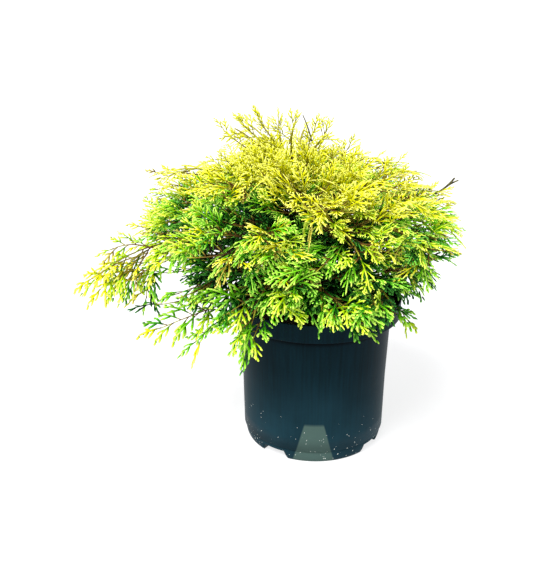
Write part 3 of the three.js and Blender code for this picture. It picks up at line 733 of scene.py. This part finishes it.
# ---- finer twigs: where they grow -----------------------------------------------------------
# Besides the sprays of the plan, finer twigs with sprays of their own fill each stem from its
# root to its tip, and the trunk inside the crown, as on the living plant. They turn up and out
# to the light, and end at the crown's outline.
TWIGLETS = {"skirt": 9, "shoulder": 13, "upper": 14, "crown": 12, "long": 2}
LIFT = {"skirt": 0.35, "shoulder": 0.55, "upper": 0.9, "crown": 1.5, "long": 0.15}
INNER_TWIGLETS = 110
LONGEST_FROND, MOST_FRONDS = 58, 6
# The crown's outline from the front and above, as it lies on an upright plane across its
# middle: how far out it is, how high its lower edge is and how high its upper edge is.
EDGE_ACROSS, EDGE_LOW, EDGE_HIGH = np.array([
    (-268, 170, 176), (-250, 164, 200), (-216, 152, 230), (-196, 150, 252), (-192, 150, 311),
    (-178, 150, 315), (-162, 148, 320), (-136, 142, 338), (-116, 122, 350), (-102, 104, 358),
    (-86, 85, 368), (-70, 98, 377), (-58, 130, 375), (-48, 137, 374), (-14, 137, 378), (6, 122, 366),
    (30, 114, 355), (50, 118, 352), (72, 130, 340), (86, 124, 341), (93, 150, 340), (106, 168, 337),
    (118, 168, 317), (133, 172, 310), (139, 186, 308), (146, 206, 307), (156, 210, 306),
    (167, 214, 254), (172, 216, 216)], float).T
# Openings that let the background through: across and up to the middle of each, and its half
# width and height.
OPENINGS = [
    (-159, 180, 20, 21), (-111, 218, 9, 8), (-124, 158, 8, 6), (136, 204, 12, 7), (146, 241, 9, 7)]


def seen(points):
    """How far across and how high points lie on an upright plane through the camera's target,
    as the camera sees them: their distance to the right of the target and above it is scaled
    by how far away they are."""
    away = points - 1000 * np.array(CAMERA_TARGET)
    sine, cosine = np.sin(CAMERA_RISE), np.cos(CAMERA_RISE)
    scale = CAMERA_DISTANCE / (CAMERA_DISTANCE + 0.001 * (away[..., 1] * cosine - away[..., 2] * sine))
    across = 1000 * CAMERA_TARGET[0] + away[..., 0] * scale
    level = 1000 * CAMERA_TARGET[2] + (away[..., 1] * sine / cosine + away[..., 2]) * scale
    return across, level


def in_outline(points, inset=0.0):
    """Whether points are inside the crown's outline as the camera sees it, by an inset at the
    top, half of it below and 0.4 of it on the right, and outside its openings."""
    across, level = seen(points)
    low, high = (np.interp(across, EDGE_ACROSS, edge) for edge in (EDGE_LOW, EDGE_HIGH))
    inside = (level > low + 0.5 * inset) & (level < high - inset)
    inside &= (across > EDGE_ACROSS[0]) & (across < EDGE_ACROSS[-1] - 0.4 * inset)
    for x, z, wide, tall in OPENINGS:
        inside &= ((across - x) / wide) ** 2 + ((level - z) / tall) ** 2 >= 1
    return inside


def grows(mass, ends, inset=0.0):
    """Whether a twig may end there: in the crown and clear of the pot."""
    in_crown = crown_size(ends) < max(1.12, crown_size(mass["tip"]))
    return (in_crown & in_outline(ends, inset) & clear_of_pot(ends, 4, 3, 8)).all()


def outward(points):
    """The direction from the crown's middle to each point, flattened to 0.3 of its height."""
    return unit((points - CROWN_MIDDLE) * (1, 1, 0.3))


def lifted(along, root, lift):
    """A direction turned to the light: along + lift up + 0.3 outward, made a unit."""
    return unit(along + lift * UP + 0.3 * outward(root))


def facing(along, root, dice):
    """The side that a spray turns to the light: up + 0.9 of outward, and in the front half and
    on the long arm also to the front, made square to the spray and twisted at random by up to
    40 degrees."""
    out = outward(root) - (0, 0.7 * (root[1] < 20) + 2.0 * (root[0] < -150), 0)
    face = unit(np.cross(np.cross(along, UP + 0.9 * unit(out)), along))
    return turned(face, along, dice.uniform(-0.7, 0.7))


def dressed(mass, root, bend, tip, count, longest, fits, dice):
    """The sprays on a finer twig: one at its tip and the others on alternate sides of it at 35
    to 60 degrees, shorter towards the tip. One that doesn't fit is made shorter, or left
    out."""
    places = []
    for j in range(count):
        last = j == count - 1
        on = 0.95 if last else 0.16 + 0.8 * (j + dice.uniform(0, 1)) / (count - 0.5)
        at = bezier(root, bend, tip, on)
        heading = unit((1 - on) * (bend - root) + on * (tip - bend))
        turn = 0 if last else np.radians(dice.uniform(35, 60)) * (1 if j % 2 else -1)
        grown = lifted(turned(heading, facing(heading, at, dice), turn), at, 0.6 * LIFT[mass["tier"]])
        length = longest * dice.uniform(0.6, 1.0) * (1.1 - 0.2 * on)
        for shorter in (1, 0.7):
            if fits(at + shorter * length * np.array([0.6, 1.0])[:, None] * grown):
                places.append(dict(mass=mass, root=at, along=grown, face=facing(grown, at, dice),
                                   length=shorter * length))
                break
    return places


def twiglet(mass, root, along, reach, dice):
    """A finer twig from root, straight for half its reach and then lifted, with its sprays. A
    twig whose end would leave the crown or touch the pot is made shorter. Each twig stays
    inside the crown's outline by a measure of its own, so that only some stand out from it."""
    inset = 24 * (1 - dice.uniform(0, 1) ** 2)
    for size in (1, 0.8, 0.64, 0.5, 0.4):
        bend = root + 0.5 * size * reach * along
        tip = bend + 0.5 * size * reach * lifted(along, root, 0.6 * LIFT[mass["tier"]])
        if grows(mass, np.array([bend, tip + 12 * unit(tip - bend)]), inset):
            places = dressed(mass, root, bend, tip, int(np.ceil(MOST_FRONDS * size)), LONGEST_FROND,
                             lambda ends: grows(mass, ends, inset), dice)
            return [(root, bend, tip)] if places else [], places
    return [], []


def fill_places(mass, count, dice):
    """Finer twigs along a stem, on alternate sides, at 28 to 62 degrees to it."""
    twiglets, places = [], []
    for k in range(count):
        share = 0.02 + min(0.76, mass["end"]) * (k + dice.uniform(0, 1)) / count
        angle, tilt = np.radians(dice.uniform(28, 62)), np.radians(dice.uniform(-35, 50))
        reach = dice.uniform(52, 84) * (1.15 - 0.5 * share)
        _, along, _, _ = spray_place(mass, share, angle, tilt, 1 if k % 2 else -1, 0)
        root = bezier(mass["start"], mass["bend"], mass["tip"], share)
        grown = twiglet(mass, root, along, reach, dice)
        twiglets += grown[0]
        places += grown[1]
    return twiglets, places


dice = np.random.default_rng(MIX)
twiglets, fronds = [], []
# A stem ends where it would cross an opening.
shares = np.linspace(0.3, STEM_END, 40)
for mass in masses:
    clear = in_outline(bezier(mass["start"], mass["bend"], mass["tip"], shares))
    clear |= mass["tier"] == "long"
    mass["end"] = shares[-1] if clear.all() else shares[np.argmin(clear)]
for spray in sprays:
    mass = spray["mass"]
    if spray["share"] > mass["end"] + 0.06:
        continue
    root = bezier(mass["start"], mass["bend"], mass["tip"], min(spray["share"], mass["end"]))
    for shorter in (1, 0.75, 0.5):
        length = shorter * spray["length"]
        if in_outline(root + length * np.array([0.6, 1.0])[:, None] * spray["along"]).all():
            fronds.append(dict(spray, root=root, length=length))
            break
for mass in masses:
    finer, places = fill_places(mass, TWIGLETS[mass["tier"]], dice)
    twiglets += finer
    fronds += places
# The inner ones rise from the trunk, each turned on from the last by the golden angle.
above = [mass for mass in masses if mass["tier"] in ("shoulder", "upper")]
for k in range(INNER_TWIGLETS):
    heading = polar(GOLDEN_ANGLE * k, 1.0, dice.uniform(0.1, 0.8))
    root = trunk_point(8 + 114 * k / INNER_TWIGLETS)
    nearest_mass = max(above, key=lambda mass: unit(mass["tip"] - root) @ heading)
    finer, places = twiglet(nearest_mass, root, unit(heading), dice.uniform(62, 100), dice)
    twiglets += finer
    fronds += places

# Twigs that stand out from the rest: the mass that each group belongs to, and of each twig the
# start, bend and tip, its number of sprays and the length of its longest.
STANDING_OUT = [
    # Full sprays that arch over the front, and over the rim on the left of the front.
    ("shoulder_foliage_08", [
        ((-10, -10, 215), (-12, -52, 246), (-14, -88, 226), 9, 44),
        ((8, -8, 205), (22, -48, 238), (36, -82, 222), 8, 42),
        ((-25, -8, 210), (-45, -46, 234), (-58, -82, 214), 8, 42),
        ((-6, -12, 222), (-2, -50, 238), (-8, -90, 228), 8, 40)]),
    ("skirt_foliage_08", [((-50, -70, 180), (-62, -98, 176), (-68, -108, 156), 7, 36)]),
    ("skirt_foliage_09", [
        ((-12, -14, 180), (-18, -62, 206), (-20, -104, 190), 9, 42),
        ((4, -12, 172), (20, -58, 196), (28, -100, 176), 8, 40)]),
    # The hanging and the rising arms of the long spray.
    ("long_foliage_01", [
        ((-150, -40, 236), (-168, -46, 222), (-172, -48, 206), 5, 28),
        ((-200, -50, 222), (-216, -54, 210), (-224, -56, 196), 5, 28),
        ((-162, -43, 232), (-180, -50, 212), (-179, -51, 182), 8, 28),
        ((-176, -44, 231), (-190, -50, 216), (-193, -52, 196), 6, 28),
        ((-166, -43, 234), (-194, -48, 246), (-212, -50, 236), 7, 28),
        ((-140, -40, 236), (-165, -42, 252), (-182, -42, 258), 7, 26),
        ((-184, -46, 228), (-210, -52, 224), (-234, -58, 206), 8, 28),
        ((-186, -48, 226), (-206, -54, 208), (-210, -56, 196), 6, 28)]),
    # Arms that reach out low on the left.
    ("skirt_foliage_07", [
        ((-92, -60, 182), (-124, -62, 172), (-168, -62, 152), 10, 38),
        ((-84, -60, 176), (-106, -66, 164), (-126, -70, 142), 7, 36),
        ((-92, -58, 204), (-122, -62, 204), (-146, -64, 192), 6, 32)]),
    # Thin shoots on top.
    ("crown_foliage_03", [
        ((-60, -10, 340), (-72, -12, 352), (-80, -12, 358), 6, 26),
        ((-46, 0, 338), (-56, -2, 352), (-62, -4, 362), 6, 26)]),
    ("crown_foliage_04", [((-30, -4, 336), (-28, -6, 350), (-24, -8, 360), 6, 26)]),
    ("crown_foliage_05", [((0, 0, 330), (6, 0, 342), (8, 0, 350), 5, 26)]),
    ("crown_foliage_03", [((-70, 0, 328), (-86, 0, 338), (-98, 0, 349), 6, 24)]),
    ("crown_foliage_04", [((-38, 0, 334), (-42, 0, 350), (-41, 0, 358), 6, 26)]),
    ("crown_foliage_05", [
        ((-12, 0, 328), (-8, 0, 342), (-4, 0, 350), 6, 26),
        ((14, 0, 312), (26, 0, 322), (32, 0, 332), 6, 24)]),
    # Thin shoots on the upper left and upper right, and sprigs over the rim on the right.
    ("upper_foliage_05", [
        ((-120, 0, 302), (-146, 0, 306), (-170, 0, 304), 5, 18),
        ((-136, 0, 306), (-150, 0, 306), (-163, 0, 298), 4, 12),
        ((-140, 0, 290), (-158, 0, 292), (-171, 0, 286), 4, 12)]),
    ("shoulder_foliage_06", [((-124, 0, 264), (-144, 0, 268), (-162, 0, 274), 5, 14)]),
    ("upper_foliage_01", [((40, 0, 316), (60, 0, 326), (72, 0, 312), 4, 16)]),
    ("skirt_foliage_10", [
        ((16, -66, 186), (30, -90, 186), (40, -102, 176), 6, 38),
        ((50, -58, 188), (66, -72, 186), (76, -80, 178), 5, 34)]),
    ("skirt_foliage_11", [((76, -58, 182), (86, -60, 174), (93, -60, 162), 4, 22)]),
    ("upper_foliage_01", [
        ((58, 0, 292), (72, 0, 306), (84, 0, 316), 3, 22),
        ((96, 4, 284), (118, 6, 284), (134, 8, 283), 4, 26)]),
]
by_node = {mass["node"]: mass for mass in masses}
for node, group in STANDING_OUT:
    for *ends, count, longest in group:
        ends = [np.array(end, float) for end in ends]
        twiglets.append(tuple(ends))
        fronds += dressed(by_node[node], *ends, count, longest, lambda ends: True, dice)


# ---- fronds ---------------------------------------------------------------------------------
# The foliage: flat sprays of scale leaves. A rib carries side shoots on alternate sides, and
# those carry short blunt fingers, all in one plane that nods at its tip. Low sprays are lush
# and coarse. Those on top are slim, with long shoots and few fingers.
SIDE_SPACING, FINGER_SPACING = 4.7, 5.0
RIB_WIDTH, SHOOT_WIDTH, FINGER_WIDTH, SHOOT_THICKNESS = 1.8, 1.9, 1.7, 1.2

root, along, face, length = (
    np.array([frond[key] for frond in fronds]) for key in ("root", "along", "face", "length"))
teeth = np.cross(face, along)
blade = (1 - TWIG_SHARE) * length
foot = root + (TWIG_SHARE * length)[:, None] * along
middle = foot + 0.5 * blade[:, None] * along
coarse = np.interp(middle[:, 2], (160, 200, 250), (1.45, 1.25, 1.0))
slim = np.interp(middle[:, 2], (230, 290), (0.0, 1.0))


def frond_plan(dice):
    """Every shoot of every frond, flat, in millimetres along and across its rib: arrays of
    frond number, start, direction, bend and length. Side shoots stand about 4.7 coarse apart.
    At a share s of the rib one leaves it at 50 - 24 s degrees, less an eighth where slim, and
    is 0.6 blade (1 - s) ** 0.75 long, less near the foot. Its fingers stand 5 mm apart or
    more, on alternate sides, at 40 degrees, or 30 where slim. With r left of the shoot, all
    over coarse, a finger is 1.7 + 0.13 r + 0.012 r squared long, and where slim 0.17 r
    longer."""
    fronds = np.arange(len(blade))
    most = int((blade / coarse).max() / (0.85 * SIDE_SPACING)) + 2
    i = np.arange(most)
    spacing = SIDE_SPACING * coarse * dice.uniform(0.85, 1.25, len(blade))
    number = np.maximum(5, np.round(blade / spacing))[:, None]
    share = 0.05 + 0.93 * (i + dice.uniform(0.25, 0.75, (len(blade), most))) / number
    side = np.where((i + fronds[:, None]) % 2, 1.0, -1.0)
    angle = (50 - 24 * share) * (1 - 0.12 * slim[:, None]) + dice.uniform(-5, 5, share.shape)
    angle = np.radians(angle)
    reach = 0.60 * blade[:, None] * np.clip(1 - share, 0, 1) ** 0.75 * np.minimum(1, 0.6 + share * 2.6)
    reach = np.maximum(reach * dice.uniform(0.82, 1.1, share.shape), 3.0 * coarse[:, None])
    there = i < number
    frond = np.broadcast_to(fronds[:, None], share.shape)
    start = np.stack([share * blade[:, None], 0.03 * blade[:, None] * np.sin(np.pi * share)], -1)
    heading = np.stack([np.cos(angle), side * np.sin(angle)], -1)
    curl = -side * dice.uniform(0.05, 0.3, share.shape)
    sides = [frond[there], start[there], heading[there], curl[there], reach[there]]

    frond, start, heading, curl, reach = sides
    size, few = coarse[frond][:, None], slim[frond][:, None]
    most = int((reach / size[:, 0]).max() / FINGER_SPACING) + 1
    j = np.arange(most)
    places = j + dice.uniform(0, 0.5, (len(frond), most))
    at = size * (4.0 + FINGER_SPACING * (1 + 0.5 * few) * places)
    there = at < reach[:, None] - 1.2 * size
    flip = np.where((j + np.arange(len(frond))[:, None]) % 2, 1.0, -1.0)
    part = (at / reach[:, None])[..., None]
    across = np.stack([-heading[:, 1], heading[:, 0]], -1)[:, None]
    base = (start[:, None] + at[..., None] * heading[:, None]
            + (curl * reach)[:, None, None] * part ** 2 * across)
    ahead = heading[:, None] + 2 * curl[:, None, None] * part * across
    angle = flip * np.radians(40 - 10 * few + dice.uniform(-7, 7, at.shape))
    turned_on = np.stack([ahead[..., 0] * np.cos(angle) - ahead[..., 1] * np.sin(angle),
                          ahead[..., 0] * np.sin(angle) + ahead[..., 1] * np.cos(angle)], -1)
    rest = (reach[:, None] - at) / size
    short = size * (1.7 + (0.13 + 0.17 * few) * rest + 0.012 * rest ** 2)
    short = short * dice.uniform(0.8, 1.2, at.shape)
    frond = np.broadcast_to(frond[:, None], at.shape)
    heading = unit(turned_on[there])
    return sides, [frond[there], base[there], heading, (-0.2 * flip)[there], short[there]]


def shoots(frond, start, heading, curl, reach, rings, widths, youth, droop):
    """Flat four-sided tubes with blunt ends, as points, the faces of one, and UVs. A shoot
    starts at a place in its frond's plane and bends to the side by curl times the square of
    the share of its length. The plane itself sinks by droop times the square of the distance
    from the frond's foot over its length. U is the distance along the shoot in mm, and V runs
    from youth to 1."""
    part = np.append(rings, 1.0)
    across = np.stack([-heading[:, 1], heading[:, 0]], -1)
    flat = (start[:, None] + (reach[:, None] * part)[..., None] * heading[:, None]
            + (curl * reach)[:, None, None] * (part ** 2)[None, :, None] * across[:, None])
    down = droop[frond][:, None] * (flat ** 2).sum(-1) / blade[frond][:, None]
    centre = (foot[frond][:, None] + flat[..., :1] * along[frond][:, None]
              + flat[..., 1:] * teeth[frond][:, None] - down[..., None] * UP)
    wide = across[:, :1] * along[frond] + across[:, 1:] * teeth[frond]
    offsets = np.stack([wide, 0 * wide, -wide, 0 * wide], 1)
    thick = np.stack([0 * wide, face[frond], 0 * wide, -face[frond]], 1)
    half = 0.5 * widths
    size = (coarse * (1 - 0.26 * slim))[frond][:, None, None, None]
    around = centre[:, :-1, None] + size * (
        half[None, :, None, None] * offsets[:, None]
        + 0.5 * SHOOT_THICKNESS * (half / half.max())[None, :, None, None] * thick[:, None])
    points = np.concatenate([around.reshape(len(frond), -1, 3), centre[:, -1:]], axis=1)
    k = np.arange(4)
    n = (k + 1) % 4
    faces = [np.array([(0, 3, 2), (0, 2, 1)])]
    for ring in range(len(rings) - 1):
        a, b = 4 * ring, 4 * ring + 4
        faces += [np.stack([a + k, a + n, b + n], -1), np.stack([a + k, b + n, b + k], -1)]
    tip = 4 * len(rings)
    faces.append(np.stack([tip - 4 + k, tip - 4 + n, np.full(4, tip)], -1))
    v = np.append(np.repeat(rings, 4), 1.0)
    young = np.broadcast_to(youth + (1 - youth) * v, (len(frond), tip + 1))
    uv = np.stack([v * reach[:, None], young], -1)
    return points, np.vstack(faces), uv


side_shoots, fingers = frond_plan(dice)
every, straight = np.arange(len(fronds)), np.tile([1.0, 0.0], (len(fronds), 1))
ribs = [every, 0 * straight, straight, dice.uniform(-0.08, 0.08, len(fronds)), blade]
mass_droop = np.array([frond["mass"]["droop"] for frond in fronds])
droop = 0.10 + 0.25 * mass_droop + dice.uniform(0, 0.14, len(fronds))
# Each kind of shoot: the share of its length at each ring, its width there as a share of its
# widest, and how young it is at its foot.
grown = [(kind[0], *shoots(*kind, np.array(rings), width * np.array(profile), youth, droop))
         for kind, rings, width, profile, youth in (
             (ribs, (0, 0.25, 0.5, 0.75, 0.95), RIB_WIDTH, (0.6, 0.8, 1, 0.9, 0.7), 0.1),
             (side_shoots, (0, 0.35, 0.7, 0.93), SHOOT_WIDTH, (0.7, 0.9, 1, 0.75), 0.0),
             (fingers, (0, 0.82), FINGER_WIDTH, (0.8, 1), 0.35))]

# Scale leaves, waxy and matt: darker and greener where the shoot is old, and pale at its tip.
TONES = [
    ("deep_green", "#021008", "#0d3812", "#429034"),
    ("shade_green", "#041a08", "#1a6814", "#7cc848"),
    ("mid_green", "#083206", "#3c9814", "#b2ee58"),
    ("lime", "#124e06", "#74c814", "#d8fc6c"),
    ("yellow_green", "#386a04", "#b6da0c", "#f2ff6c"),
    ("lemon", "#6e7602", "#ecea06", "#feff84"),
    ("bronze", "#4a3210", "#a89a28", "#e0dc70"),
]


def scale_leaf(tree, old, grown, tip):
    """The colour runs from old through grown to tip with V, shifted a little by a 12 mm noise,
    and a noise of 1.4 mm scales gives the bump."""
    place = add_node(tree, "TexCoord")
    along_shoot = add_node(tree, "SeparateXYZ", {0: place.outputs["UV"]}).outputs[1]
    patches = add_node(tree, "TexNoise", {0: place.outputs["Object"], "Scale": 80.0, "Detail": 2.0})
    ripe = add_node(tree, "Math", {0: patches, 1: 0.9, 2: -0.42}, operation="MULTIPLY_ADD")
    ripe = add_node(tree, "Math", {0: along_shoot, 1: ripe}, operation="ADD")
    shade = add_node(tree, "ValToRGB", {0: ripe}, [(0.02, old), (1.0, tip), (0.55, grown)])
    scales = add_node(tree, "TexNoise", {0: place.outputs["Object"], "Scale": 700.0, "Detail": 1.0})
    relief = add_node(tree, "Bump", {"Strength": 0.5, "Distance": 0.0006, "Height": scales})
    return {"Base Color": shade, "Normal": relief, "Roughness": 0.55, "Specular IOR Level": 0.08}


# Painted shade and light: places in the crown, as the camera sees them, where sprays are dealt
# darker, greener tones for shade, or paler, more golden ones for light: across, level, half
# width and height, and change.
PAINTED_SHADE_AND_LIGHT = [
    (-118, 268, 55, 30, -0.40), (-42, 268, 28, 20, -0.22), (40, 240, 36, 16, -0.12),
    (148, 212, 34, 36, -0.18), (-108, 238, 30, 22, -0.22), (128, 234, 30, 22, -0.12),
    (-130, 155, 40, 45, 0.16), (20, 205, 95, 16, 0.08), (-64, 118, 26, 36, 0.22),
    (30, 275, 34, 22, 0.25), (20, 205, 36, 22, -0.08), (112, 130, 22, 22, 0.40),
    (72, 180, 36, 30, -0.23), (-10, 152, 50, 22, 0.12), (-200, 220, 40, 50, -0.04),
    (-131, 194, 26, 24, -0.24), (158, 262, 26, 30, 0.22), (10, 195, 90, 46, -0.07),
]
# How golden a spray is where each tone gives way to the next, from deep green to lemon, and how
# much that varies from spray to spray.
TONE_STEPS, TONE_CHANGE = (0.38, 0.47, 0.57, 0.74, 0.93), 0.15
# A few golden sprays have browned, and more in the middle of the long arm than elsewhere.
BROWNED, BROWNED_THERE, BROWNED_PLACE = 0.04, 0.4, (-200, 212, 20, 22)


def hill(x, z, wide, tall):
    """1 for a frond in the middle of that place, as the camera sees it, and from there
    exp(-((distance across / wide) ** 2 + (distance up / tall) ** 2))."""
    return np.exp(-((across - x) / wide) ** 2 - ((level - z) / tall) ** 2)


# A spray is more golden the further out it grows, from 0 in the crown's middle to 1 on its
# rounded box, and the higher up. The outer half of the top is more golden still, as painted light.
depth = crown_size(middle) ** (1 / 2.6)
gold = 1.02 * depth + 0.62 * (middle[:, 2] - 170) / 190 - 0.33
# Painted light: the outer half of the top gets up to 0.5 more, so it takes paler, more golden tones.
gold += np.clip((middle[:, 2] - 285) / 60, 0, 1) * np.clip((depth - 0.5) / 0.3, 0, 1) * 0.5
across, level = seen(middle)
# Painted shade and light: each place shifts the tones of the sprays round it.
for *place, change in PAINTED_SHADE_AND_LIGHT:
    gold += change * hill(*place)
tone = np.digitize(gold + dice.normal(0, TONE_CHANGE, len(fronds)), TONE_STEPS)
tiers = np.array([frond["mass"]["tier"] for frond in fronds])
may_brown = (tiers != "skirt") & (tiers != "crown") & (tone > 2)
browned = dice.uniform(0, 1, len(fronds)) < BROWNED + BROWNED_THERE * hill(*BROWNED_PLACE)
tone[may_brown & browned] = len(TONES) - 1
leaf_finish = [
    make_material(f"{tone_name} scale leaf", scale_leaf, *colours) for tone_name, *colours in TONES]
for tier_name in TIERS:
    nodes = [mass["node"] for mass in masses if mass["tier"] == tier_name]
    for number, (tone_name, *_) in enumerate(TONES):
        chosen = (tiers == tier_name) & (tone == number)
        if not chosen.any():
            continue
        parts, uvs = [], []
        for frond, points, faces, uv in grown:
            kept = chosen[frond]
            triangles = faces + points.shape[1] * np.arange(kept.sum())[:, None, None]
            parts.append((points[kept].reshape(-1, 3), triangles.reshape(-1, 3)))
            uvs.append(uv[kept].reshape(-1, 2))
        make_piece(f"{tier_name}_{tone_name}_sprays", *joined(parts), leaf_finish[number],
                   f"{tier_name}_foliage", nodes, np.vstack(uvs))


# ---- twigs ----------------------------------------------------------------------------------
# The leaders and the finer twigs that the sprays grow on. Their bark is dark and thin at the
# foot, and further out they are still covered in green scale leaves. A few are dry and bare.
STEM_RADIUS, LONG_STEM_RADIUS, TWIG_RADIUS = 1.6, 1.0, 0.8
STALK_RADII = np.array([0.65, 0.6, 0.5])


def lined(path, radii, sides, seed):
    """A closed tube with its UVs: U is the distance along it in mm. V is its share, but from
    275 mm up it is at least a seventy-fifth of each mm above that, and beyond 150 mm to the
    left a sixtieth of each mm, as the top and the long arm are young."""
    grid = tube(path, radii, sides, UP + (0.31, 0.17, 0), relief=0.06, seed=seed)
    points, triangles = skin(grid)
    share = np.append(np.repeat(np.linspace(0, 1, len(path)), sides), (0, 1))
    reach = np.linalg.norm(np.diff(path, axis=0), axis=1).sum()
    youth = np.clip((points[:, 2] - 275) / 75, 0, 0.9)
    youth = np.maximum(youth, np.clip((-150 - points[:, 0]) / 60, 0, 0.7))
    return points, triangles, np.column_stack([share * reach, np.maximum(share, youth)])


def make_twigs(name, parts, material):
    """One piece of many lined tubes, which stands for all the masses of foliage."""
    points, triangles = joined([part[:2] for part in parts])
    nodes = [mass["node"] for mass in masses]
    make_piece(name, points, triangles, material, "bark", nodes, np.vstack([uv for *_, uv in parts]))


shares = np.linspace(0, 1, 34)
stem_parts = []
for mass in masses:
    path = bezier(mass["start"], mass["bend"], mass["tip"], mass["end"] * shares)
    radius = LONG_STEM_RADIUS if mass["tier"] == "long" else STEM_RADIUS
    stem_parts.append(lined(path, radius * (1 - 0.78 * mass["end"] * shares), 8, mass["number"]))
shares = np.linspace(0, 0.96, 9)
twiglet_parts = [
    lined(bezier(*ends, shares), TWIG_RADIUS - 0.35 * shares, 6, 100 + k)
    for k, ends in enumerate(twiglets)]
stalks = root[:, None] + np.array([0, 0.5, 1.15])[:, None] * (foot - root)[:, None]
stalk_parts = [lined(stalk, STALK_RADII, 5, 500) for stalk in stalks]

# Dry twigs that have lost their leaves: one on top, a forked one on the right and two that
# droop low on the right. Each is a start, a bend and a tip, with two radii.
DRY_TWIGS = [
    ((-7, -2, 338), (-10, 0, 352), (-17, 0, 366), 0.9, 0.5),
    ((124, 8, 279), (137, 10, 283), (148, 11, 298), 1.3, 1.1),
    ((138, 10, 287), (145, 11, 292), (152, 12, 294), 1.1, 0.8),
    ((70, -56, 220), (90, -60, 208), (98, -60, 195), 0.9, 0.6),
    ((78, -52, 216), (94, -58, 210), (104, -57, 204), 0.8, 0.5),
]
dry_parts = [lined(bezier(*np.array(ends, float), shares), first + (last - first) * shares, 6, 700 + k)
             for k, (*ends, first, last) in enumerate(DRY_TWIGS)]
make_twigs("dry_twigs", dry_parts, make_material("dry bark", bark, "#2c2814", "#6c6838"))
leafy_twig = make_material("young bark and leaf", scale_leaf, "#1a0f08", "#6a4a24", "#a8a434")
make_twigs("stems", stem_parts, leafy_twig)
make_twigs("finer_twigs", twiglet_parts, leafy_twig)
make_twigs("spray_stalks", stalk_parts, leafy_twig)
